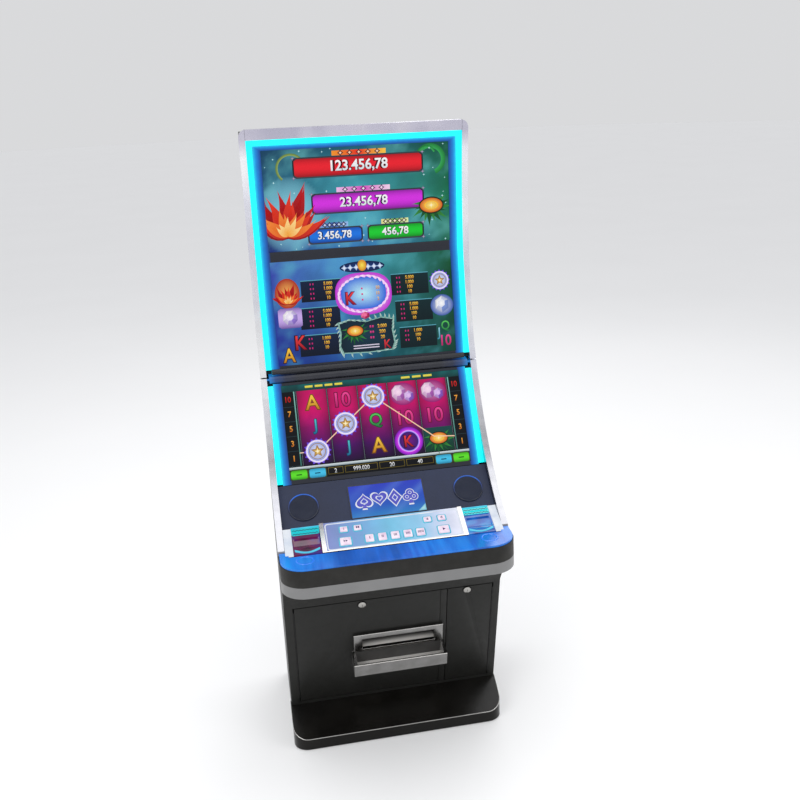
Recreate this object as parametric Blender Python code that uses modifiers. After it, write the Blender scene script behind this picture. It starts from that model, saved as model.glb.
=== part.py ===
"""Curved three-screen slot machine, built as separate pieces with real joints.

Frame: metres, X to the player's right, -Y towards the player, +Z up.
Origin: on the floor, under the centre of the machine's bounding box.
"""
import math

import bmesh
import bpy
from mathutils import Matrix, Vector

# ---------------------------------------------------------------- driving dimensions
HALF_WIDTH = 0.325          # silver rails, bumper and footrest
SKIN_HALF = 0.322           # black side panels and frames
SIDE_THICK = 0.018
BACK_Y = 0.335
REAR_FACE = BACK_Y - 0.0015     # outer face of the back sheet
REAR_INNER = BACK_Y - 0.0125    # inner face of the back sheet
FRONT_Y = -0.335
TOP_Z = 1.830
BODY_TOP_Z = 1.800          # side panels and the silver rail's opening
SHELL_TOP_Z = 1.815         # top sheet and the upper door's frame
GAP = 0.0003                # clearance between touching pieces

# Front edge of the silver rails, seen from the side: a straight foot, then two arcs.
FOOT_START = (-0.215, 0.7255)
FOOT_LENGTH = 0.0684
FOOT_ANGLE = math.radians(33.6)
LOWER_RADIUS = 0.7508
JOIN_ANGLE = math.radians(86.53)
UPPER_RADIUS = 1.8194
RAIL_NOSE = (-0.2205, 0.7085)

RAIL_DEPTH = 0.030
SHELL_DEPTH = 0.055         # rails and black frame together
BODY_DEPTH = 0.056          # where the fixed side panels begin
RAIL_INNER = 0.307
OPENING_HALF = 0.2775

# Player's face between the rails, as (y, z) corners from the top down.
DOOR_TOP = (0.1575, 1.8000)
DOOR_BEND = (0.1825, 1.4650)
DOOR_FOOT = (0.1405, 1.1225)
LID_TOP = (0.1320, 1.0980)
LID_BEND = (-0.0215, 0.8375)
PANEL_TOP = (-0.0260, 0.8380)
PANEL_FOOT = (-0.1400, 0.7500)
DECK_TOP = (-0.1445, 0.7615)
DECK_FOOT = (-0.2465, 0.7170)
BEZEL_TOP = (-0.1440, 0.7535)
BEZEL_FOOT = (-0.2450, 0.7190)
PEDESTAL_TOP = (-0.1235, 0.5050)
PEDESTAL_FOOT = (-0.0055, 0.0980)
CHIN_TOP = (-0.2202, 0.6300)
CHIN_DEPTH = 0.008

DOOR_BOTTOM_Z = 1.1215
LID_AXIS = (0.134, 1.112)
DOOR_AXIS = (-0.3225, 0.2375)
LID_FLOOR_Z = 0.7085
LID_PIN_RADIUS = 0.0028
LID_PIN_END = 0.3180
BEAM_HALF = 0.2990
DOOR_PIN_RADIUS = 0.0022
DOOR_PIN_SPAN = (1.200, 1.700)

# Displays: 24-inch wide screens behind their windows.
WINDOW_HALF = 0.2680
MODULE_HALF = 0.2725
MODULE_DEPTH = 0.034
SHEET = 0.004               # bezels and panels
MODULE_LIP = 0.0028
UPPER_WINDOW = (0.0310, 0.3220)
MIDDLE_WINDOW = (0.0151, 0.3203)
LOWER_WINDOW = (0.0075, 0.2905)
LED_OUTER = 0.3065
LED_INNER = 0.2907
BEZEL_HALF = 0.2902

# Button deck, as (x, distance down the deck) with a width and a length for each.
PANEL_HALF = 0.1920
TRIM_HALF = 0.2045
DECK_LENGTH = 0.1030
BUTTON_RISE = 0.004
BUTTON_SINK = 0.010
SMALL_BUTTON = (0.0200, 0.0170)
LARGE_BUTTON = (0.0300, 0.0260)
BET_BUTTON = (0.0225, 0.0250)
BUTTONS = {
    "button_info": (-0.138, 0.0320, SMALL_BUTTON),
    "button_language": (-0.099, 0.0320, SMALL_BUTTON),
    "button_service": (0.100, 0.0320, SMALL_BUTTON),
    "button_cashout": (0.141, 0.0320, SMALL_BUTTON),
    "button_autoplay": (-0.138, 0.0760, LARGE_BUTTON),
    "button_bet_1": (-0.071, 0.0750, BET_BUTTON),
    "button_bet_2": (-0.035, 0.0750, BET_BUTTON),
    "button_bet_3": (0.001, 0.0750, BET_BUTTON),
    "button_bet_4": (0.037, 0.0750, BET_BUTTON),
    "button_bet_5": (0.073, 0.0750, BET_BUTTON),
    "button_start": (0.139, 0.0760, LARGE_BUTTON),
}
DISH_HALF = (0.2055, 0.2830)    # note and ticket bezels, in |x|
SLOT_X = 0.24425
SLOT_Y = -0.1830
SLOT_HALF = 0.0330
SLOT_WIDTH = 0.0060

# Bumper round the front of the deck.
BUMPER_REAR = -0.2178
BUMPER_RADIUS = 0.070
BUMPER_BOTTOM = 0.6360
BAND_TOP = 0.6680
PAD_TOP = 0.7165
DECK_PLATE_TOP = 0.7222
RING_CENTRE = (0.255, -0.2790)
RING_RADII = (0.0220, 0.0240)

# Speakers and emblem on the sloping panel.
SPEAKER_X = 0.240
SPEAKER_DOWN = 0.0770
SPEAKER_RADIUS = 0.042
EMBLEM_HALF = 0.108
EMBLEM_SPAN = (0.0280, 0.1320)

# Pedestal doors, in x and in distance down the pedestal face.
SERVICE_DOOR_X = (-0.2936, 0.1600)
CASH_DOOR_X = (0.1620, 0.2981)
DOOR_SPAN = (0.0152, 0.4105)
DOORWAY_SPAN = (0.0120, 0.4120)
DOOR_THICK = 0.008
FRAME_DEPTH = 0.014
SERVICE_HINGE_X = -0.2955
CASH_HINGE_X = 0.3000
HINGE_ROOM = 0.0019
HINGE_DEPTH = 0.0005
SERVICE_LOCK = (-0.095, 0.0310)
CASH_LOCK = (0.221, 0.0270)
LOCK_RADIUS = 0.0085
CAM_SPAN = (-0.0225, -0.0196)   # behind the door's outer face, clear of the frame
STILE_X = (0.1550, 0.1700)
GROOVE_X = (0.1395, 0.1412)
PEDESTAL_PIN_RADIUS = 0.0014
PEDESTAL_PIN_SPAN = (0.030, 0.395)

# Coin tray on the service door.
TRAY_X = (-0.124, 0.149)
TRAY_SPAN = (0.1497, 0.2620)
TRAY_LIP_X = (-0.130, 0.153)
TRAY_LIP_SPAN = (0.2210, 0.2676)
TRAY_LIP_REACH = 0.060
TRAY_BAR_SPAN = (0.2065, 0.2155)
TRAY_RIM = 0.024
TRAY_HEAD = 0.0160          # from the frame's top edge to the pocket
TRAY_POCKET = 0.055
TRAY_WALL = 0.0025

FOOTREST_HEIGHT = 0.039
FOOTREST_RADIUS = 0.045
FOOTREST_FRONT = -0.1080
FOOTREST_REAR = 0.0200
UNDERSIDE_Z = 0.0095
SKIRT_Z = 0.003
FEET_X = (-0.270, 0.270)
FEET_Y = (0.050, 0.290)

# Back sheet: rows of louvres, exhaust fan and mains inlet, as (x, z).
LOUVRE_X = (-0.120, 0.060)
LOUVRE_BASES = (0.30, 1.30)
LOUVRE_ROWS = 7
LOUVRE_PITCH = 0.022
LOUVRE_HEIGHT = 0.007
FAN_CENTRE = (0.170, 1.600)
FAN_RADIUS = 0.050
FAN_BLADES = 7
FAN_SLOT_PITCH = 0.012
FAN_SLOT_HALF = 0.004
INLET_CENTRE = (-0.200, 0.200)
SWITCH_TILT = 6.0           # degrees either side of level

# Inner units, each as its lowest and highest corner.
FLOOR_TOP_Z = 0.036
UNIT_FLOOR_Z = FLOOR_TOP_Z + GAP
UNIT_BEVEL = 0.003
LOGIC_BOX = ((-0.160, 0.228, 0.680), (0.160, REAR_INNER - GAP, 0.960))
POWER_SUPPLY = ((-0.270, 0.180, UNIT_FLOOR_Z), (-0.080, 0.310, 0.136))
CASH_BOX = ((0.180, 0.060, UNIT_FLOOR_Z), (0.286, 0.270, 0.330))
CASH_GRIP = ((0.205, 0.046, 0.270), (0.261, 0.061, 0.282))
NOTE_ACCEPTOR = ((0.206, -0.200, 0.640), (0.283, 0.000, 0.7045))
TICKET_PRINTER = ((-0.283, -0.200, 0.640), (-0.206, 0.060, 0.7045))

CURVE_STEP = 0.028          # height between the bends of the curved edges
ROUND_STEPS = 8

# ---------------------------------------------------------------- scene and materials
for old in list(bpy.data.objects):
    bpy.data.objects.remove(old, do_unlink=True)

PARTS = bpy.data.collections.new("slot_machine")
CUTTERS = bpy.data.collections.new("cutters")
bpy.context.scene.collection.children.link(PARTS)
bpy.context.scene.collection.children.link(CUTTERS)


def material(name, colour, roughness, metallic=0.0, glow=0.0):
    """A Principled material, with its own light where it glows."""
    made = bpy.data.materials.new(name)
    made.use_nodes = True
    shader = made.node_tree.nodes["Principled BSDF"]
    shader.inputs["Base Color"].default_value = (*colour, 1.0)
    shader.inputs["Roughness"].default_value = roughness
    shader.inputs["Metallic"].default_value = metallic
    shader.inputs["Emission Color"].default_value = (*colour, 1.0)
    shader.inputs["Emission Strength"].default_value = glow
    return made


BLACK = material("black_paint", (0.018, 0.018, 0.017), 0.45)
GLOSS = material("gloss_black", (0.010, 0.010, 0.010), 0.15)
SILVER = material("satin_aluminium", (0.62, 0.63, 0.65), 0.28, 1.0)
CHROME = material("chrome", (0.80, 0.79, 0.76), 0.10, 1.0)
BAND = material("grey_band", (0.26, 0.26, 0.26), 0.40)
RUBBER = material("bumper_black", (0.022, 0.021, 0.020), 0.55)
BAR = material("divider_grey", (0.05, 0.05, 0.055), 0.35, 0.5)
BEZEL = material("bezel_blue", (0.01, 0.10, 0.18), 0.30, 0.0, 0.3)
LED = material("led_cyan", (0.0, 0.85, 1.0), 0.40, 0.0, 2.0)
SCREEN = material("screen_glass", (0.10, 0.03, 0.16), 0.10)
SLATE = material("slate_panel", (0.035, 0.045, 0.080), 0.40)
EMBLEM = material("emblem_blue", (0.02, 0.09, 0.60), 0.25)
LILAC = material("button_panel_lilac", (0.55, 0.62, 0.80), 0.25)
PEARL = material("button_white", (0.88, 0.80, 0.86), 0.30)
AZURE = material("deck_azure", (0.02, 0.22, 0.62), 0.12)
TICKET = material("ticket_purple", (0.20, 0.02, 0.12), 0.25)
NOTE = material("note_cyan", (0.02, 0.42, 0.62), 0.25)
STEEL = material("zinc_steel", (0.45, 0.46, 0.47), 0.40, 1.0)
PLASTIC = material("black_plastic", (0.02, 0.02, 0.022), 0.50)

IDENTITY = Matrix.Identity(4)
# Outline in (y, z), thickness along X.
SIDE_VIEW = Matrix(((0, 0, 1, 0), (1, 0, 0, 0), (0, 1, 0, 0), (0, 0, 0, 1)))
# Outline in (x, z), thickness along -Y.
FRONT_VIEW = Matrix(((1, 0, 0, 0), (0, 0, -1, 0), (0, 1, 0, 0), (0, 0, 0, 1)))


def facet(top, foot):
    """Frame on a sloping face: X right, Y up the slope, Z out of it; origin at its top."""
    up = Vector((0.0, top[0] - foot[0], top[1] - foot[1])).normalized()
    out = Vector((1.0, 0.0, 0.0)).cross(up)
    columns = (Vector((1.0, 0.0, 0.0)), up, out)
    frame = Matrix([[column[row] for column in columns] for row in range(3)]).to_4x4()
    frame.translation = (0.0, top[0], top[1])
    return frame


def length(top, foot):
    return math.hypot(top[0] - foot[0], top[1] - foot[1])


UPPER_FACE = facet(DOOR_TOP, DOOR_BEND)
MIDDLE_FACE = facet(DOOR_BEND, DOOR_FOOT)
LID_FACE = facet(LID_TOP, LID_BEND)
PANEL_FACE = facet(PANEL_TOP, PANEL_FOOT)
DECK_FACE = facet(DECK_TOP, DECK_FOOT)
DISH_FACE = facet(BEZEL_TOP, BEZEL_FOOT)
PEDESTAL_FACE = facet(PEDESTAL_TOP, PEDESTAL_FOOT)
CHIN_FACE = facet(CHIN_TOP, PEDESTAL_TOP)


# ---------------------------------------------------------------- modelling helpers
def add(name, mesh, paint, frame=IDENTITY):
    """Link a mesh as a part, placed by its frame."""
    part = bpy.data.objects.new(name, mesh)
    part.matrix_world = frame
    mesh.materials.append(paint)
    PARTS.objects.link(part)
    return part


def block(name, low, high, paint, frame=IDENTITY, bevel=0.0):
    """A box between two corners given in its frame, with its origin at its centre."""
    size = [high[axis] - low[axis] for axis in range(3)]
    middle = [(high[axis] + low[axis]) / 2 for axis in range(3)]
    shape = bmesh.new()
    bmesh.ops.create_cube(shape, size=1.0, matrix=Matrix.Diagonal((*size, 1.0)))
    mesh = bpy.data.meshes.new(name)
    shape.to_mesh(mesh)
    shape.free()
    part = add(name, mesh, paint, frame @ Matrix.Translation(middle))
    if bevel:
        soften(part, bevel)
    return part


def soften(part, width, segments=2):
    edge = part.modifiers.new("soft_edges", "BEVEL")
    edge.width = width
    edge.segments = segments
    edge.limit_method = "ANGLE"


def prism(name, outline, low, high, paint, frame=IDENTITY):
    """A flat outline in the frame's XY, filling from low to high along its Z."""
    curve = bpy.data.curves.new(name + "_outline", "CURVE")
    curve.dimensions = "2D"
    curve.fill_mode = "BOTH"
    curve.extrude = (high - low) / 2
    spline = curve.splines.new("POLY")
    spline.points.add(len(outline) - 1)
    for point, place in zip(spline.points, outline):
        point.co = (place[0], place[1], 0.0, 1.0)
    spline.use_cyclic_u = True
    guide = bpy.data.objects.new(name + "_outline", curve)
    PARTS.objects.link(guide)
    mesh = solid_mesh(guide, name)
    bpy.data.objects.remove(guide)
    return add(name, mesh, paint, frame @ Matrix.Translation((0, 0, (high + low) / 2)))


def solid_mesh(source, name):
    """The evaluated mesh of an object, its loose caps welded on."""
    bpy.context.view_layer.update()
    evaluated = source.evaluated_get(bpy.context.evaluated_depsgraph_get())
    mesh = bpy.data.meshes.new_from_object(evaluated)
    mesh.name = name
    mesh.materials.clear()
    shape = bmesh.new()
    shape.from_mesh(mesh)
    bmesh.ops.remove_doubles(shape, verts=shape.verts, dist=0.00001)
    bmesh.ops.recalc_face_normals(shape, faces=shape.faces)
    shape.to_mesh(mesh)
    shape.free()
    return mesh


def cylinder(name, radius, low, high, paint, frame=IDENTITY, sides=24):
    """A round bar along the frame's Z, with its origin at its centre."""
    shape = bmesh.new()
    bmesh.ops.create_cone(shape, cap_ends=True, segments=sides, radius1=radius,
                          radius2=radius, depth=high - low)
    mesh = bpy.data.meshes.new(name)
    shape.to_mesh(mesh)
    shape.free()
    mesh.shade_smooth()
    mesh.set_sharp_from_angle(angle=math.radians(40))
    return add(name, mesh, paint, frame @ Matrix.Translation((0, 0, (high + low) / 2)))


def turned(name, profile, paint, frame=IDENTITY, sides=24):
    """A turned piece about the frame's Z; the profile runs down its outer side."""
    mesh = bpy.data.meshes.new(name)
    shape = bmesh.new()
    corners = [shape.verts.new((radius, 0.0, height)) for radius, height in profile]
    for first, second in zip(corners, corners[1:]):
        shape.edges.new((first, second))
    shape.to_mesh(mesh)
    shape.free()
    part = add(name, mesh, paint, frame)
    turn = part.modifiers.new("turn", "SCREW")
    turn.steps = sides
    turn.render_steps = sides
    turn.use_merge_vertices = True
    turn.merge_threshold = 0.00005
    turn.use_smooth_shade = True
    return part


def as_cutter(piece):
    """Take a solid out of the parts and keep it only for cutting."""
    PARTS.objects.unlink(piece)
    CUTTERS.objects.link(piece)
    piece.hide_render = True
    piece.display_type = "WIRE"
    return piece


def combine(part, tool, operation):
    change = part.modifiers.new(operation.lower() + "_" + tool.name, "BOOLEAN")
    change.operation = operation
    change.object = as_cutter(tool)
    change.solver = "EXACT"
    return part


def cut(part, *tools):
    for tool in tools:
        combine(part, tool, "DIFFERENCE")
    return part


def keep_inside(part, tool):
    return combine(part, tool, "INTERSECT")


def join(part, *tools):
    for tool in tools:
        combine(part, tool, "UNION")
    return part


def shared_cutter(name, pieces):
    """Several solids as one object, to cut or join them all at once."""
    shape = bmesh.new()
    for piece in pieces:
        mesh = solid_mesh(piece, piece.name)
        mesh.transform(piece.matrix_world)
        shape.from_mesh(mesh)
        bpy.data.objects.remove(piece)
        bpy.data.meshes.remove(mesh)
    mesh = bpy.data.meshes.new(name)
    shape.to_mesh(mesh)
    shape.free()
    return add(name, mesh, BLACK)


def move_with(name, frame, pieces):
    """An empty on a joint's axis that carries the pieces moving with it."""
    pivot = bpy.data.objects.new(name, None)
    PARTS.objects.link(pivot)
    pivot.matrix_world = frame
    bpy.context.view_layer.update()
    for piece in pieces:
        piece.parent = pivot
        piece.matrix_parent_inverse = frame.inverted()
    return pivot


# ---------------------------------------------------------------- outlines
def rail_edge(z):
    """The rails' front edge at a height: its y, and the sine of its slope there."""
    foot_y, foot_z = FOOT_START
    bend_y = foot_y + FOOT_LENGTH * math.cos(FOOT_ANGLE)
    bend_z = foot_z + FOOT_LENGTH * math.sin(FOOT_ANGLE)
    join_y = bend_y + LOWER_RADIUS * (math.sin(JOIN_ANGLE) - math.sin(FOOT_ANGLE))
    join_z = bend_z + LOWER_RADIUS * (math.cos(FOOT_ANGLE) - math.cos(JOIN_ANGLE))
    if z <= bend_z:
        return foot_y + (z - foot_z) / math.tan(FOOT_ANGLE), math.sin(FOOT_ANGLE)
    if z <= join_z:
        angle = math.acos(math.cos(FOOT_ANGLE) - (z - bend_z) / LOWER_RADIUS)
        return bend_y + LOWER_RADIUS * (math.sin(angle) - math.sin(FOOT_ANGLE)), math.sin(angle)
    angle = math.acos(math.cos(JOIN_ANGLE) - (z - join_z) / UPPER_RADIUS)
    return join_y + UPPER_RADIUS * (math.sin(angle) - math.sin(JOIN_ANGLE)), math.sin(angle)


def behind_rail(depth, low, high):
    """Points a given depth behind the rails' front edge, from a low to a high z.

    All pieces bend at the same heights, so their facing edges stay parallel.
    """
    bend_z = FOOT_START[1] + FOOT_LENGTH * math.sin(FOOT_ANGLE)
    stations = [bend_z]
    while stations[-1] < high:
        spacing = CURVE_STEP if stations[-1] < 1.0 else 2 * CURVE_STEP
        stations.append(stations[-1] + spacing)
    heights = [low] + [z for z in stations if low + 0.002 < z < high - 0.002] + [high]
    points = []
    for z in heights:
        y, sine = rail_edge(z)
        points.append((y + depth / sine, z))
    return points


def rail_band(front, back, low, high):
    """Side-view outline of a curved strip between two depths behind the front edge."""
    return behind_rail(front, low, high) + behind_rail(back, low, high)[::-1]


def face_band(corners, front, back):
    """Side-view outline of a folded sheet on the player's face."""
    outer = [(y + front, z) for y, z in corners]
    return outer + [(y + back, z) for y, z in corners[::-1]]


def on_line(top, foot, z):
    """The point of a face at a height."""
    share = (z - foot[1]) / (top[1] - foot[1])
    return foot[0] + (top[0] - foot[0]) * share, z


def round_front(half_x, front, rear, radius, steps=ROUND_STEPS):
    """Plan outline with a straight rear edge and two round front corners."""
    outline = [(half_x, rear)]
    for centre_x, start in ((half_x - radius, 0.0), (radius - half_x, -90.0)):
        for step in range(steps + 1):
            angle = math.radians(start - 90.0 * step / steps)
            x = centre_x + radius * math.cos(angle)
            y = front + radius + radius * math.sin(angle)
            outline.append((x, y))
    outline.append((-half_x, rear))
    return outline


def mirrored_pair(name, low, high, paint, frame=IDENTITY, bevel=0.0):
    """Two equal boxes, one on each side of the machine."""
    right = block(name + "_right", low, high, paint, frame, bevel)
    left = block(name + "_left", (-high[0], low[1], low[2]), (-low[0], high[1], high[2]),
                 paint, frame, bevel)
    return [left, right]


# ---------------------------------------------------------------- fixed cabinet
def side_outline():
    """Side panel, from the floor at the back round to the chin, lid and upper door."""
    pedestal_back = FRAME_DEPTH + GAP
    chin_back = CHIN_DEPTH + GAP
    down = PEDESTAL_FACE @ Vector((0, -length(PEDESTAL_TOP, PEDESTAL_FOOT), -pedestal_back))
    up = PEDESTAL_FACE @ Vector((0, GAP, -pedestal_back))
    chin_low = CHIN_FACE @ Vector((0, -length(CHIN_TOP, PEDESTAL_TOP) + CHIN_DEPTH, -chin_back))
    chin_high = CHIN_FACE @ Vector((0, GAP, -chin_back))
    seam = BUMPER_REAR + 2 * GAP
    lid_rest = LID_FLOOR_Z - 2 * GAP
    ear_front = LID_AXIS[0] + 0.0275
    beam_low = LID_TOP[1] + 0.001
    beam_high = DOOR_BOTTOM_Z - 0.002
    return ([(BACK_Y, UNDERSIDE_Z), (FOOTREST_REAR + GAP, UNDERSIDE_Z),
             (FOOTREST_REAR + GAP, down.z - 0.002), (down.y, down.z), (up.y, up.z),
             (chin_low.y, chin_low.z), (chin_high.y, chin_high.z + 0.001),
             (seam, chin_high.z + 0.001), (seam, lid_rest)]
            + behind_rail(BODY_DEPTH, lid_rest, beam_low)
            + [(ear_front, beam_low + GAP), (ear_front, beam_high)]
            + behind_rail(BODY_DEPTH, beam_high, BODY_TOP_Z)
            + [(BACK_Y, BODY_TOP_Z)])


def side_panel(name, side):
    inner = SKIN_HALF - SIDE_THICK
    low, high = sorted((side * inner, side * SKIN_HALF))
    return prism(name, side_outline(), low, high, BLACK, SIDE_VIEW)


def cabinet():
    left = side_panel("side_panel_left", -1)
    side_panel("side_panel_right", 1)
    axis = Matrix.Translation((DOOR_AXIS[0], DOOR_AXIS[1], 0.0))
    low, high = DOOR_PIN_SPAN
    cut(left, cylinder("hinge_groove", 0.0030, low - 0.010, high + 0.010, BLACK, axis, 12))
    cylinder("display_door_pin", DOOR_PIN_RADIUS, low, high, STEEL, axis, 10)
    inner = SKIN_HALF - SIDE_THICK - GAP
    base_with_feet(inner)
    rear_shell(inner)
    front_frame()
    hinge_beam()


def rear_shell(inner):
    """Back sheet and top, with louvres, a fan grille and a hole for the mains inlet."""
    shell = block("rear_shell", (-inner, REAR_INNER, 0.020), (inner, REAR_FACE, 1.8100), BLACK)
    top_low = BODY_TOP_Z + GAP
    edge_y, sine = rail_edge(top_low)
    top = block("top_sheet", (-SKIN_HALF, edge_y + BODY_DEPTH / sine, top_low),
                (SKIN_HALF, BACK_Y, SHELL_TOP_Z), BLACK)
    openings = []
    near, far = REAR_INNER - 0.010, BACK_Y + 0.010
    for base in LOUVRE_BASES:
        for row in range(LOUVRE_ROWS):
            z = base + LOUVRE_PITCH * row
            openings.append(block("louvre", (LOUVRE_X[0], near, z),
                                  (LOUVRE_X[1], far, z + LOUVRE_HEIGHT), BLACK))
    fan_frame = Matrix.Translation((FAN_CENTRE[0], 0.0, FAN_CENTRE[1])) @ FRONT_VIEW
    for row in range(-3, 4):
        rise = row * FAN_SLOT_PITCH
        half = math.sqrt(FAN_RADIUS ** 2 - rise ** 2)
        openings.append(block("fan_slot", (-half, rise - FAN_SLOT_HALF, -far),
                              (half, rise + FAN_SLOT_HALF, -near), BLACK, fan_frame))
    x, z = INLET_CENTRE
    openings.append(block("inlet_hole", (x - 0.0245, near, z - 0.0335),
                          (x + 0.0245, far, z + 0.0335), BLACK))
    cut(join(shell, top), shared_cutter("rear_openings", openings))


def base_with_feet(inner):
    """Cabinet floor on its four levelling feet, each a stem with a round pad."""
    base = block("base_plate", (-inner, FOOTREST_REAR + GAP, 0.020),
                 (inner, REAR_INNER - GAP, FLOOR_TOP_Z), BLACK)
    for x in FEET_X:
        for y in FEET_Y:
            profile = ((0.0, 0.0300), (0.006, 0.0300), (0.006, 0.0085), (0.022, 0.0070),
                       (0.022, 0.0), (0.0, 0.0))
            join(base, turned("foot", profile, STEEL, Matrix.Translation((x, y, 0.0)), 16))


def footrest():
    """Sloping kick plate with round front corners."""
    slope_end = PEDESTAL_FOOT
    outline = [(FOOTREST_FRONT, SKIRT_Z), (FOOTREST_REAR, SKIRT_Z), (FOOTREST_REAR, 0.0965),
               (slope_end[0] + 0.0005, slope_end[1] - 0.0006), (FOOTREST_FRONT, FOOTREST_HEIGHT)]
    rest = prism("footrest", outline, -HALF_WIDTH, HALF_WIDTH, GLOSS, SIDE_VIEW)
    plan = round_front(HALF_WIDTH, FOOTREST_FRONT, 0.05, FOOTREST_RADIUS)
    keep_inside(rest, prism("footrest_plan", plan, -0.01, 0.12, GLOSS))


def front_frame():
    """Chin and frame round both pedestal doors, with a stile behind their meeting edges."""
    span = length(PEDESTAL_TOP, PEDESTAL_FOOT)
    frame = block("pedestal_frame", (-SKIN_HALF, -span, -FRAME_DEPTH), (SKIN_HALF, 0, 0),
                  BLACK, PEDESTAL_FACE)
    doorway = block("doorway", (SERVICE_HINGE_X - HINGE_ROOM, -DOORWAY_SPAN[1], -0.1),
                    (CASH_HINGE_X + HINGE_ROOM, -DOORWAY_SPAN[0], 0.1), BLACK, PEDESTAL_FACE)
    stile = block("stile", (STILE_X[0], -span + 0.002, -FRAME_DEPTH),
                  (STILE_X[1], -0.002, -DOOR_THICK - 0.0015), BLACK, PEDESTAL_FACE)
    chin = block("chin", (-SKIN_HALF, -length(CHIN_TOP, PEDESTAL_TOP) - 0.0015, -CHIN_DEPTH),
                 (SKIN_HALF, 0.0, 0.0), BLACK, CHIN_FACE)
    join(cut(frame, doorway), stile, chin)


def hinge_beam():
    """Fixed cross beam between the lid and the upper door, with a pin for the lid at each end."""
    low = LID_TOP[1] + 0.0025
    high = DOOR_BOTTOM_Z - 0.002
    profile = [(0.1300, low + 0.004), (0.1330, low), (0.2350, low), (0.2350, high),
               (0.1340, high), (0.1300, high - 0.005)]
    beam = prism("hinge_beam", profile, -BEAM_HALF, BEAM_HALF, BAR, SIDE_VIEW)
    lid = Matrix.Translation((0.0, *LID_AXIS)) @ SIDE_VIEW
    join(beam, cylinder("lid_pins", LID_PIN_RADIUS, -LID_PIN_END, LID_PIN_END, STEEL, lid, 12))


def pedestal_axis(x):
    """Frame on a pedestal door's hinge line, with Y up along it."""
    return PEDESTAL_FACE @ Matrix.Translation((x, 0.0, -HINGE_DEPTH))


def pedestal_pin(name, x):
    """Long pin along the edge of a pedestal door."""
    along = Matrix.Rotation(math.radians(90), 4, "X")
    cylinder(name, PEDESTAL_PIN_RADIUS, *PEDESTAL_PIN_SPAN, STEEL, pedestal_axis(x) @ along, 8)


# ---------------------------------------------------------------- pedestal doors
def lock_hole(part, place):
    frame = PEDESTAL_FACE @ Matrix.Translation((place[0], -place[1], 0.0))
    cut(part, cylinder("bore_" + part.name, LOCK_RADIUS + 0.0004, -0.05, 0.05, BLACK, frame, 20))


def lock(name, place, reach):
    """Lock barrel with a cam behind the door, which turns up behind the frame."""
    frame = PEDESTAL_FACE @ Matrix.Translation((place[0], -place[1], 0.0))
    shank, tip = CAM_SPAN[1] + 0.0006, CAM_SPAN[0] - 0.0010
    profile = ((0.0, 0.0048), (0.0060, 0.0048), (LOCK_RADIUS + 0.0025, 0.0030),
               (LOCK_RADIUS + 0.0025, 0.0004), (LOCK_RADIUS, 0.0004), (LOCK_RADIUS, shank),
               (0.0050, shank), (0.0050, tip), (0.0, tip))
    barrel = turned(name, profile, CHROME, frame, 20)
    cam = block(name + "_cam", (-0.006, -0.008, CAM_SPAN[0]), (reach, 0.008, CAM_SPAN[1]), STEEL, frame)
    slot = block(name + "_keyway", (-0.0006, -0.0040, 0.0030), (0.0006, 0.0040, 0.01), STEEL, frame)
    return cut(join(barrel, cam), slot)


def coin_tray():
    """Bright frame, pocket and trough of the coin tray, let into the service door."""
    low_x, high_x = TRAY_X
    lip_low, lip_high = TRAY_LIP_X
    top, foot = TRAY_SPAN
    lip_top, lip_foot = TRAY_LIP_SPAN
    bar_top, bar_foot = TRAY_BAR_SPAN
    tray = block("coin_tray", (low_x, -foot, GAP), (high_x, -top, 0.0085), CHROME, PEDESTAL_FACE,
                 0.0015)
    near, far = low_x + TRAY_RIM, high_x - TRAY_RIM
    ceiling = -top - TRAY_HEAD
    floor = -bar_top - TRAY_WALL
    pocket = block("tray_pocket", (near, floor, -TRAY_POCKET), (far, ceiling, 0.0083), CHROME,
                   PEDESTAL_FACE)
    bar = block("tray_bar", (near - 0.001, -bar_foot, 0.0020), (far + 0.001, -bar_top, 0.0115),
                CHROME, PEDESTAL_FACE, 0.0015)
    trough = block("tray_trough", (lip_low, -lip_foot, 0.0010), (lip_high, -lip_top, TRAY_LIP_REACH),
                   CHROME, PEDESTAL_FACE)
    scoop = block("tray_scoop", (lip_low + 0.010, -lip_foot + 0.0030, 0.0070),
                  (lip_high - 0.010, -bar_foot - 0.0005, TRAY_LIP_REACH - 0.004), CHROME,
                  PEDESTAL_FACE)
    inside = block("tray_inside", (near + TRAY_WALL, floor + TRAY_WALL, -TRAY_POCKET + TRAY_WALL),
                   (far - TRAY_WALL, ceiling - TRAY_WALL, 0.0300), CHROME, PEDESTAL_FACE)
    return cut(join(cut(join(tray, pocket, trough), scoop), bar), inside)


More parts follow.
